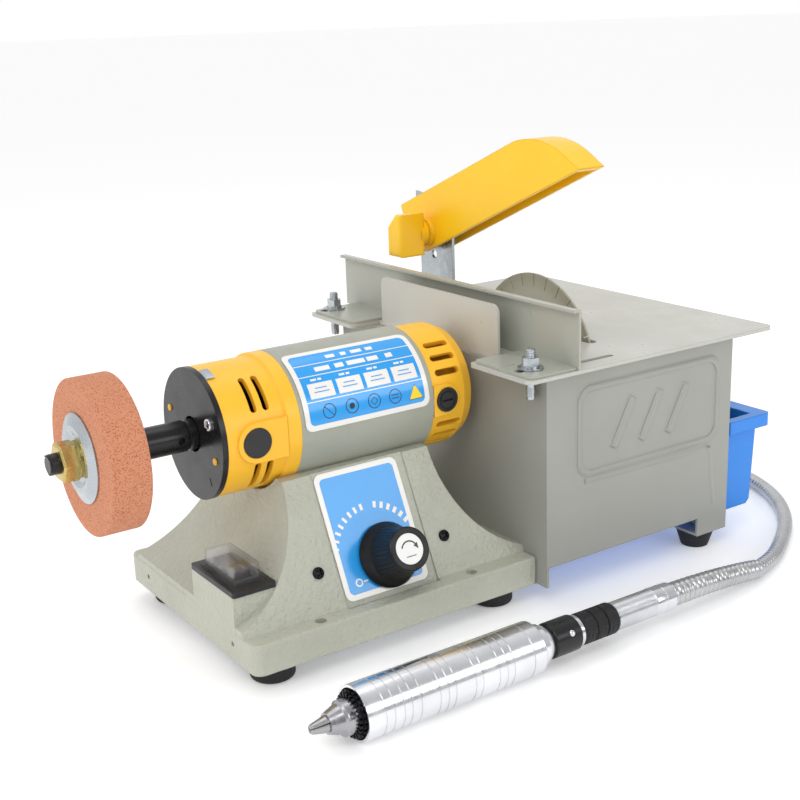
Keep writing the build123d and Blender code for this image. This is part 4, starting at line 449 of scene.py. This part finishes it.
def patch(outline, grid=2.0):
    """A convex outline in (u, v) cut into level strips, so that it can lie on a curved face."""
    low = min(v for _, v in outline)
    high = max(v for _, v in outline)
    levels = sorted({round(v, 4) for _, v in outline})
    marks = set(levels)
    count = max(1, int((high - low) / grid))
    marks.update(low + (high - low) * k / count for k in range(count + 1))
    marks = sorted(marks)
    marks = [m for k, m in enumerate(marks) if k == 0 or m - marks[k - 1] > 0.002]
    rows = []
    for mark in marks:
        level = min(max(mark, low + 1e-5), high - 1e-5)
        crossings = []
        for (u0, v0), (u1, v1) in zip(outline, outline[1:] + outline[:1]):
            if (v0 - level) * (v1 - level) <= 0 and abs(v1 - v0) > 1e-9:
                crossings.append(u0 + (u1 - u0) * (level - v0) / (v1 - v0))
        rows.append((level, min(crossings), max(crossings)))
    verts, faces = [], []
    for level, left, right in rows:
        verts += [(left, level), (right, level)]
    for i in range(len(rows) - 1):
        faces.append((2 * i, 2 * i + 1, 2 * i + 3, 2 * i + 2))
    return verts, faces


def band(points, width, closed=False):
    """A drawn line of this width along (u, v) points."""
    verts, faces = [], []
    count = len(points)
    for i, (u, v) in enumerate(points):
        before = points[i - 1] if (i or closed) else points[i]
        after = points[(i + 1) % count] if (i < count - 1 or closed) else points[i]
        du, dv = after[0] - before[0], after[1] - before[1]
        size = math.hypot(du, dv) or 1
        nu, nv = -dv / size * width / 2, du / size * width / 2
        verts += [(u - nu, v - nv), (u + nu, v + nv)]
    for i in range(count if closed else count - 1):
        k = (i + 1) % count
        faces.append((2 * i, 2 * k, 2 * k + 1, 2 * i + 1))
    return verts, faces


def bar(u, v, w, h, turn=0.0):
    """A small solid bar, turned about its middle."""
    c, s = math.cos(turn), math.sin(turn)
    corners = [(-w / 2, -h / 2), (w / 2, -h / 2), (w / 2, h / 2), (-w / 2, h / 2)]
    return [(u + a * c - b * s, v + a * s + b * c) for a, b in corners], [(0, 1, 2, 3)]


def disc(u, v, r, steps=28):
    """A filled circle."""
    return arc(u, v, r, 0, 360, steps)[:-1], [tuple(range(steps))]


def arc(u, v, r, a0, a1, steps=20):
    """Points along an arc between two angles in degrees."""
    turns = [math.radians(a0 + (a1 - a0) * k / steps) for k in range(steps + 1)]
    return [(u + r * math.cos(turn), v + r * math.sin(turn)) for turn in turns]


def ink(name, shapes, place, lift, material, body):
    """Printed shapes laid on a surface, each a pair of (u, v) points and faces."""
    verts, faces = [], []
    for points, cells in shapes:
        start = len(verts)
        verts += [place(u, v, lift) for u, v in points]
        faces += [tuple(start + k for k in cell) for cell in cells]
    return add_mesh(name, verts, faces, material, body)


# ------------------------------------------------------------------ camera
scene = bpy.context.scene
lens = bpy.data.cameras.new("camera")
lens.lens = 57.57
lens.sensor_width = 36
lens.clip_start = 0.02
lens.clip_end = 120
camera = bpy.data.objects.new("camera", lens)
scene.collection.objects.link(camera)
right = Vector((0.82560284, -0.56326576, -0.03334127))
down = Vector((-0.18625838, -0.21627649, -0.95840091))
ahead = Vector((0.53262348, 0.7974686, -0.28347145))
turn = Matrix((right, -down, -ahead)).transposed().to_4x4()
camera.matrix_world = Matrix.Translation(at(-233.791, -475.717, 285.956)) @ turn
scene.camera = camera

# ------------------------------------------------------------------ the flexible shaft
SPRING_VIA = (FERRULE_END + 36, HAND_Y, HAND_Z)
SPRING_TO = (FERRULE_END + 70.5, HAND_Y + 4, FLOOR + SPRING_R)
ROUTE = [
    SPRING_TO,
    (295, -47, SHEATH_Z),
    (319, -34, SHEATH_Z),
    (348, -14, SHEATH_Z),
    (373, 14, SHEATH_Z),
    (388, 48, SHEATH_Z),
    (391, 84, SHEATH_Z),
    (388.5, 121, SHEATH_Z),
    (381, 161, SHEATH_Z + 1),
    (369.4, 199.5, SHEATH_Z + 7),
    (350.5, 250.9, SHEATH_Z + 15.5),
]
TURN_FROM, TURN_TO = 20, 810
for k in range(0, 33):
    part = k / 32
    theta = math.radians(TURN_FROM + (TURN_TO - TURN_FROM) * part)
    drop = SHEATH_Z + 18.9 * (1 - part)
    reach = COIL_R / math.cos(math.radians((TURN_TO - TURN_FROM) / 64)) if 0 < k < 32 else COIL_R
    ROUTE.append((COIL_X + reach * math.cos(theta), COIL_Y + reach * math.sin(theta), drop))
COUPLING_X = COIL_X - 32
ROUTE.append((COIL_X - 16, COIL_Y + COIL_R, SHEATH_Z))
ROUTE.append((COUPLING_X + 1, COIL_Y + COIL_R, SHEATH_Z))


def smooth_line(name, points):
    """The smooth line that these route points steer, as evenly enough spaced points."""
    curve = bpy.data.curves.new(name, "CURVE")
    curve.dimensions = "3D"
    spline = curve.splines.new("NURBS")
    spline.points.add(len(points) - 1)
    for slot_point, p in zip(spline.points, points):
        slot_point.co = (*at(*p), 1)
    spline.order_u = 3
    spline.use_endpoint_u = True
    spline.resolution_u = 10
    holder = bpy.data.objects.new(name, curve)
    scene.collection.objects.link(holder)
    bpy.context.view_layer.update()
    mesh = bpy.data.meshes.new_from_object(holder.evaluated_get(bpy.context.evaluated_depsgraph_get()))
    line = [v.co.copy() for v in mesh.vertices]
    bpy.data.objects.remove(holder)
    bpy.data.meshes.remove(mesh)
    return line


def walk(line, step):
    """Points every step metres along a line, with the way it heads at each."""
    out = []
    travelled = [0.0]
    for a, b in zip(line, line[1:]):
        travelled.append(travelled[-1] + (b - a).length)
    total = travelled[-1]
    count = int(round(total / step))
    i = 0
    for k in range(count + 1):
        s = total * k / count
        while i < len(line) - 2 and travelled[i + 1] < s:
            i += 1
        span = travelled[i + 1] - travelled[i] or 1
        t = (s - travelled[i]) / span
        out.append((s, line[i].lerp(line[i + 1], t), (line[i + 1] - line[i]).normalized()))
    return out, total


def hose(name, line, radius, step, material, body, segs=20):
    """A tube round a line whose radius, in metres, is given by radius(s, total)."""
    stations, total = walk(line, step)
    rings = []
    side = None
    for s, point, heading in stations:
        if side is None:
            side = heading.orthogonal().normalized()
        side = (side - heading * side.dot(heading)).normalized()
        other = heading.cross(side)
        r = radius(s, total)
        rings.append([point + away * r for away in around(side, other, segs)])
    verts, faces = stack(rings, True, True, True)
    obj = add_mesh(name, verts, faces, material, body, angle=60)
    return obj, total


def gooseneck(s, total):
    """Interlocked metal strip: rounded turns with a narrow groove between them."""
    part = (s / 0.0033) % 1.0
    return SHEATH_D / 2000 - 0.00045 + 0.0005 * math.sin(math.pi * part) ** 0.45


sheath_line = smooth_line("sheath_line", ROUTE)
sheath, sheath_len = hose(
    "sheath_gooseneck", sheath_line, gooseneck, 0.00055, HOSE, "machine"
)
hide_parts("flex_sheath", "sheath_coil")


def spring_turns(s, total):
    """A close round-wire coil, a little smaller at its far end."""
    part = (s / 0.0036) % 1.0
    size = SPRING_R / 1000 - 0.0010 * (s / total)
    return size - 0.0014 + 0.0013 * math.sin(math.pi * part) ** 0.7


spring_line = smooth_line("spring_line", [(FERRULE_END, HAND_Y, HAND_Z), SPRING_VIA, SPRING_TO])
spring, _ = hose(
    "spring_guard_coil", spring_line, spring_turns, 0.0005, HOSE, "machine", 28
)
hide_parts("spring_guard")

# ferrule: fine threads, then a plain band with one ring line, up to the spring
ferrule_profile = [(0, 5.6)]
x = 0.0
while x < 26:
    ferrule_profile += [(x, 6.7), (x + 0.35, 7.15), (x + 0.7, 6.7)]
    x += 0.75
ferrule_profile += [
    (26.7, 7.2), (27.5, 7.35), (32.6, 7.3), (32.8, 7.0), (33.3, 7.0), (33.5, 7.3),
    (39.2, 7.2), (40, 6.6), (40, 5.0),
]
ferrule = turned(
    "ferrule_threaded",
    ferrule_profile,
    (GRIP_END, HAND_Y, HAND_Z),
    (1, 0, 0),
    CHROME,
    "machine",
    48,
    20,
)
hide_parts("shaft_ferrule")
lock_ring = turned(
    "silver_lock_ring",
    [(-3.0, 5.6), (-3.0, 7.6), (-2.6, 8.0), (-0.9, 8.0), (-0.4, 7.6), (-0.4, 5.6)],
    (GRIP_X, HAND_Y, HAND_Z),
    (1, 0, 0),
    CHROME,
    "machine",
    48,
)

# knurled grip: crossed diagonal cuts, with two turned grooves
rings = []
GRIP_L, GRIP_STEPS, GRIP_SEGS = 22.0, 88, 144
GRIP_GROOVES = (7.4, 14.4)
GRIP_CUTS = 36
for i in range(GRIP_STEPS + 1):
    along = GRIP_L * i / GRIP_STEPS
    ring = []
    for j in range(GRIP_SEGS):
        theta = 2 * math.pi * j / GRIP_SEGS
        cut = abs(math.sin(GRIP_CUTS * theta / 2 + along * 1.9))
        cut *= abs(math.sin(GRIP_CUTS * theta / 2 - along * 1.9))
        r = 7.55 + 0.4 * min(1, cut * 1.6)
        if min(abs(along - groove) for groove in GRIP_GROOVES) < 0.5:
            r = 7.2
        if along < 0.7 or along > 21.3:
            r = 7.45
        ring.append(at(GRIP_X + along, HAND_Y + r * math.cos(theta), HAND_Z + r * math.sin(theta)))
    rings.append(ring)
for along, r, spot in ((0, 5.7, 0), (GRIP_L, 5.7, len(rings) + 1)):
    ring = []
    for j in range(GRIP_SEGS):
        theta = 2 * math.pi * j / GRIP_SEGS
        ring.append(at(GRIP_X + along, HAND_Y + r * math.cos(theta), HAND_Z + r * math.sin(theta)))
    rings.insert(spot, ring)
verts, faces = stack(rings)
grip = add_mesh("grip_knurled", verts, faces, ENAMEL, "machine", angle=25)
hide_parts("knurled_grip")


# ------------------------------------------------------------------ nameplate on the motor
def on_sleeve(u, v, lift):
    """u runs along the motor from the plate's middle, v up round the sleeve."""
    r = SLEEVE_R + 0.42 + lift
    angle = math.radians(PLATE_ANGLE) + v / SLEEVE_R
    return at(90.5 + u, AXIS_Y - r * math.cos(angle), AXIS_Z + r * math.sin(angle))


def print_on_plate(name, shapes, lift, material):
    return ink(name, shapes, on_sleeve, lift, material, "machine")


CELL = 16.2                 # from one box of the plate's table to the next
FIELD_W, FIELD_H = 67.5, 37.8
border = [patch(rounded(PLATE_W, PLATE_H, 4), 1.2)]
plate = print_on_plate("nameplate_border", border, 0.0, WHITE_FILM)
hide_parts("nameplate")
field = [patch(rounded(FIELD_W, FIELD_H, 2.6), 1.2)]
print_on_plate("nameplate_field", field, 0.05, BLUE_FILM)
white = []
for v in (12.0, 5.4, -7.6):
    white.append(bar(0, v, FIELD_W, 0.45))
for k in range(4):
    left, low, high = -31 + CELL * k, -6.2, 1.4
    white.append(patch([(left, low), (left + 14, low), (left + 14, high), (left, high)], 1.2))
    for step, wide in enumerate((3.2, 2.0)):
        white.append(bar(-26.5 + CELL * k + 3.4 * step, 3.2, wide, 1.1))
for k, wide in enumerate((5.2, 3.2, 6.4, 4.0)):
    white.append(bar(-11 + 7.6 * k, 15.2, wide, 2.2))
for k, wide in enumerate((8.5, 5.0, 10.5, 6.5, 4.0)):
    white.append(bar(-19 + 9.8 * k, 8.6, wide, 2.6))
print_on_plate("nameplate_marks", white, 0.1, WHITE_FILM)
blue_marks = []
for k in range(4):
    blue_marks.append(bar(-24 + CELL * k, -1.2, 6.5, 0.5))
    blue_marks.append(bar(-24 + CELL * k, -3.2, 8.5, 0.5))
print_on_plate("nameplate_small_marks", blue_marks, 0.15, BLUE_FILM)
SIGN_US = (-22.5, -9.5, 3.5, 16.0)
SIGN_V, SIGN_LINE = -13.2, 0.38
dark = [band(arc(u, SIGN_V, 3.5, 0, 360, 28)[:-1], SIGN_LINE, True) for u in SIGN_US]
u = SIGN_US[0]
dark.append(band([(u - 2.4, -10.8), (u + 2.4, -15.6)], SIGN_LINE))
dark.append(disc(SIGN_US[1], SIGN_V, 1.5))
u = SIGN_US[2]
diamond = [(u - 1.9, SIGN_V), (u, -11.3), (u + 1.9, SIGN_V), (u, -15.1)]
dark.append(band(diamond, SIGN_LINE, True))
u = SIGN_US[3]
for v in (-12.4, -14.0):
    dark.append(band([(u - 2.2, v), (u + 2.2, v)], SIGN_LINE))
print_on_plate("nameplate_signs", dark, 0.15, BLACK_INK)
tri = [(24.2, -16.6), (32.4, -16.6), (28.3, -9.5)]
print_on_plate("nameplate_triangle", [patch(tri, 0.8)], 0.15, YELLOW_INK)
print_on_plate("nameplate_triangle_rim", [band(tri, 0.45, True)], 0.2, BLACK_INK)


# ------------------------------------------------------------------ control label and knob
def on_label(u, v, lift):
    z = LABEL_MID_Z + v / FACE_LEN
    base = Vector((LABEL_X + u, face_y(z), z)) + FACE_OUT * (-0.27 + lift)
    return at(*base)


KNOB_U = KNOB_X - LABEL_X
KNOB_V = (KNOB_Z - LABEL_MID_Z) * FACE_LEN
border = [patch(rounded(LABEL_W, LABEL_H, 4), 4)]
label = ink("control_border", border, on_label, 0.0, WHITE_FILM, "machine")
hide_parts("control_label")
field = [patch(rounded(LABEL_W - PLATE_BORDER, LABEL_H - PLATE_BORDER, 2.6), 4)]
ink("control_field", field, on_label, 0.05, BLUE_FILM, "machine")
marks = []
TICKS, TICK_GAP, TICK_R = 15, 8, 23.5
for k in range(TICKS):
    turn_at = math.radians(164 - 9.6 * k)
    u = KNOB_U - 4.2 + TICK_R * math.cos(turn_at)
    v = KNOB_V + 3.0 + TICK_R * math.sin(turn_at)
    if k == TICK_GAP:
        continue
    marks.append(bar(u, v, 1.2 + 0.06 * k, 3.2, turn_at - math.pi / 2))
marks.append(band(arc(-15.2, -24.2, 1.7, 0, 360, 24)[:-1], 0.75, True))
marks.append(bar(-11.3, -24.2, 2.4, 0.8))
ink("control_marks", marks, on_label, 0.1, WHITE_FILM, "machine")

knob_base = Vector((KNOB_X, face_y(KNOB_Z), KNOB_Z)) + FACE_OUT * KNOB_GAP
knob_profile = [
    (0.0, 3.2), (0.0, 15.6), (0.4, 16.4), (1.2, 16.5), (2.2, 16.0), (5.2, 14.0), (5.8, 13.4),
    (6.2, 13.2), (7.0, 13.1), (13.0, 12.1), (19.5, 11.0), (20.2, 10.8), (20.6, 11.1), (21.6, 10.9),
    (22.0, 10.3), (22.0, 7.9), (21.6, 7.7), (21.6, 0.0),
]


def flutes(index, turn_angle):
    """Shallow flutes round the knob's grip."""
    if index in (8, 9, 10):
        return -0.42 * abs(math.cos(turn_angle * 18))
    return 0.0


knob = turned(
    "knob_fluted", knob_profile, knob_base, FACE_OUT, KNOB, "speed_knob", 216, 30, flutes
)
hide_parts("speed_knob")


def on_cap(u, v, lift):
    base = knob_base + FACE_OUT * (21.62 + lift) + Vector((1, 0, 0)) * u + FACE_UP * v
    return at(*base)


ink("knob_cap", [disc(0, 0, 7.6, 48)], on_cap, 0.06, CAP_WHITE, "speed_knob")
arrow = band(arc(0, -0.6, 4.4, 158, 28, 24), 0.75)
head = [(2.6, 1.0), (5.0, 2.4), (4.9, -0.9)]
cap_marks = [arrow, (head, [(0, 1, 2)]), bar(0, -3.6, 5.6, 0.4)]
ink("knob_cap_arrow", cap_marks, on_cap, 0.12, BLACK_INK, "speed_knob")


# ------------------------------------------------------------------ cross-head screws
def screw(name, centre, out, radius, material, body, high=1.9):
    """A pan head with a cross recess, standing on the surface at centre."""
    out = Vector(out).normalized()
    side = out.orthogonal().normalized()
    other = out.cross(side)
    segs, steps = 40, 12
    centre = Vector(centre)
    rings = [[at(*(centre + away * radius)) for away in around(side, other, segs)]]
    for i in range(steps):
        r = radius * (1 - (i / (steps - 0.5)) ** 1.25)
        dome = high * (0.45 + 0.55 * math.sqrt(max(0, 1 - (r / radius) ** 2)))
        ring = []
        for j in range(segs):
            theta = 2 * math.pi * j / segs
            a, b = r * math.cos(theta), r * math.sin(theta)
            narrow, wide = sorted((abs(a), abs(b)))
            deep = high * 0.5 if narrow < radius * 0.13 and wide < radius * 0.6 else 0
            p = centre + side * a + other * b + out * (dome - deep)
            ring.append(at(*p))
        rings.append(ring)
    verts, faces = stack(rings, True, True, True)
    return add_mesh(name, verts, faces, material, body, angle=30)


for letter, way in (("a", 1), ("b", -1)):
    spot = (COVER_X, AXIS_Y - 19.8 * way, AXIS_Z + 9.4 * way)
    name = f"cover_screw_{letter}"
    screw(name, spot, (-1, 0, 0), SCREW_R, CHROME, "machine")
for k, dx in enumerate((-37.4, 37.4)):
    spot = Vector((PANEL_X + dx, face_y(KNOB_Z + 1), KNOB_Z + 1))
    name = f"panel_screw_{k}"
    screw(name, spot, FACE_OUT, SCREW_R, BLACKENED, "machine", 1.7)
for k, y in enumerate((30, 113)):
    name, spot = f"box_screw_{k}", (168.0, y, 8)
    screw(name, spot, (1, 0, 0), SCREW_R, ZINC, "machine", 1.6)
for k, y in enumerate((154.5, 174.5)):
    name, spot = f"bracket_screw_{k}", (237.6, y, 118.4)
    screw(name, spot, (0, 0, 1), SCREW_R, ZINC, "machine", 1.8)
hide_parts("pan_screws")


# ------------------------------------------------------------------ embossing on the saw box
def bead(name, points, width, high, place, material, body, closed=True):
    """A half-round raised line along (u, v) points."""
    count = len(points)
    rings = []
    for i, (u, v) in enumerate(points):
        before = points[i - 1] if (i or closed) else points[i]
        after = points[(i + 1) % count] if (i < count - 1 or closed) else points[i]
        du, dv = after[0] - before[0], after[1] - before[1]
        size = math.hypot(du, dv) or 1
        nu, nv = -dv / size, du / size
        ring = []
        for k in range(9):
            t = -1 + 2 * k / 8
            rise = high * (0.5 + 0.5 * math.cos(math.pi * t)) - (0.02 if abs(t) == 1 else 0)
            ring.append(place(u + nu * t * width / 2, v + nv * t * width / 2, rise))
        rings.append(ring)
    if closed:
        rings.append(rings[0])
    verts, faces = stack(rings, closed=False)
    return add_mesh(name, verts, faces, material, body, angle=60)


def on_box(u, v, lift):
    return at(u, BOX_FRONT - lift, v)


FX0, FX1, FZ0, FZ1 = 186.5, 291.0, 56.0, 105.0
mid_u, mid_v = (FX0 + FX1) / 2, (FZ0 + FZ1) / 2
frame_line = [(mid_u + u, mid_v + v) for u, v in rounded(FX1 - FX0 - 3, FZ1 - FZ0 - 3, 7.5, 8)]
bead("box_frame_bead", frame_line, 5.6, 1.35, on_box, BOX, "machine")
for k in (-1, 0, 1):
    du, dv = 14 * math.cos(math.radians(62)), 14 * math.sin(math.radians(62))
    u = mid_u + 20 * k
    line = [(u - du + 2 * du * t / 12, mid_v - dv + 2 * dv * t / 12) for t in range(13)]
    bead(f"box_rib_{k + 1}", line, 8.0, 1.5, on_box, BOX, "machine", False)

lower = [(FX0 + 6, 12), (FX0 + 6, 53.4), (285.5, 52.2)]
lower += [(u + 282, v + 48.4) for u, v in arc(0, 0, 4.2, 80, 0, 6)] + [(287.8, 31), (290.6, 13.5)]
fine = []
for (u0, v0), (u1, v1) in zip(lower[1:], lower[2:]):
    count = max(1, int(math.hypot(u1 - u0, v1 - v0) / 4))
    fine += [(u0 + (u1 - u0) * t / count, v0 + (v1 - v0) * t / count) for t in range(count)]
bead("box_lower_crease", fine, 4.2, 0.55, on_box, BOX, "machine", False)

# small spring clip on top of the left cap, beside the cover plate
clip = []
for u in (12.9, 13.6, 17.0, 17.6):
    rise = 0.0 if u < 13 else 0.9
    ring = []
    for k in range(7):
        angle = math.radians(64 + 2.4 * k)
        r = CAP_R + rise
        ring.append(at(u, AXIS_Y - r * math.cos(angle), AXIS_Z + r * math.sin(angle)))
    clip.append(ring)
verts, faces = stack(clip, closed=False)
add_mesh("left_cap_clip", verts, faces, ZINC, "machine", angle=30)


# ------------------------------------------------------------------ screw threads
def thread(name, start, axis, length, outer, pitch, body, material):
    """A screw thread: a ridge of this pitch wound round the axis."""
    axis = Vector(axis).normalized()
    side = axis.orthogonal().normalized()
    other = axis.cross(side)
    segs = 24
    rings = []
    steps = int(length / pitch * segs)
    for i in range(steps + 1):
        theta = 2 * math.pi * i / segs
        away = side * math.cos(theta) + other * math.sin(theta)
        base = Vector(start) + axis * (pitch * i / segs)
        depth = min(1, 8 * i / steps, 8 * (steps - i) / steps)
        ring = []
        for along, r in ((-0.42, -0.22), (-0.12, 0.0), (0.12, 0.0), (0.42, -0.22)):
            ring.append(at(*(base + axis * along * pitch + away * (outer + 0.08 + r - 0.3 * (1 - depth)))))
        rings.append(ring)
    verts, faces = stack(rings, closed=False)
    return add_mesh(name, verts, faces, material, body, angle=50)


spot = (SPINDLE_END, AXIS_Y, AXIS_Z)
thread("spindle_thread", spot, (1, 0, 0), 4.4, 5.0, 1.25, "spindle", ENAMEL)
for k, y in enumerate(FENCE_BOLT_YS):
    for name, z, length in (("fence_thread", 123.2, 4.8), ("fence_thread_low", 103.2, 6.4)):
        spot = (FENCE_BOLT_X, y, z)
        thread(f"{name}_{k}", spot, (0, 0, 1), length, 2.5, 0.8, "machine", ZINC)

# ------------------------------------------------------------------ floor and light
FLOOR_HALF = 60             # metres
floor_mat = Shader(
    "floor", rgb(250, 250, 250), 0.8, Emission_Color=(1, 1, 1, 1), Emission_Strength=0.2
)
floor_mat.vary(floor_mat.noise(2, 2), 0.004)
mesh = bpy.data.meshes.new("floor")
corners = [(-1, -1), (1, -1), (1, 1), (-1, 1)]
mesh.from_pydata([(x * FLOOR_HALF, y * FLOOR_HALF, 0) for x, y in corners], [], [(0, 1, 2, 3)])
mesh.materials.append(floor_mat.mat)
floor = bpy.data.objects.new("floor", mesh)
scene.collection.objects.link(floor)
floor.location.z = -0.0001

world = bpy.data.worlds.new("world")
scene.world = world
world.use_nodes = True
background = next(n for n in world.node_tree.nodes if n.type == "BACKGROUND")
background.inputs["Strength"].default_value = 1.0
heading = world.node_tree.nodes.new("ShaderNodeTexCoord")
split = world.node_tree.nodes.new("ShaderNodeSeparateXYZ")
dim = world.node_tree.nodes.new("ShaderNodeValToRGB")
shift = world.node_tree.nodes.new("ShaderNodeMapRange")
world.node_tree.links.new(heading.outputs["Generated"], split.inputs["Vector"])
shift.inputs["From Min"].default_value = -1
world.node_tree.links.new(split.outputs["Y"], shift.inputs["Value"])
world.node_tree.links.new(shift.outputs["Result"], dim.inputs["Fac"])
dim.color_ramp.elements[0].position = 0.05
dim.color_ramp.elements[0].color = (0.42, 0.42, 0.43, 1)
dim.color_ramp.elements[1].position = 0.75
dim.color_ramp.elements[1].color = (1, 1, 1, 1)
world.node_tree.links.new(dim.outputs["Color"], background.inputs["Color"])


def light(name, place, aim, size, power, colour=(1, 1, 1)):
    data = bpy.data.lights.new(name, "AREA")
    data.shape = "RECTANGLE"
    data.size, data.size_y = size
    data.energy = power
    data.color = colour
    obj = bpy.data.objects.new(name, data)
    scene.collection.objects.link(obj)
    obj.location = place
    obj.rotation_euler = (Vector(aim) - Vector(place)).to_track_quat("-Z", "Y").to_euler()


light("key", (-0.75, -0.75, 1.05), (0, 0, 0.08), (0.7, 0.7), 5.0)
light("front", (0.35, -1.15, 0.55), (0, 0, 0.05), (0.9, 0.4), 3.4)
light("top", (0.1, 0.25, 1.3), (0, 0, 0.1), (0.9, 0.6), 2.0)
light("left", (-1.2, 0.2, 0.35), (0, 0, 0.1), (0.3, 0.8), 1.2)
scene.view_settings.view_transform = "Standard"
scene.view_settings.look = "None"
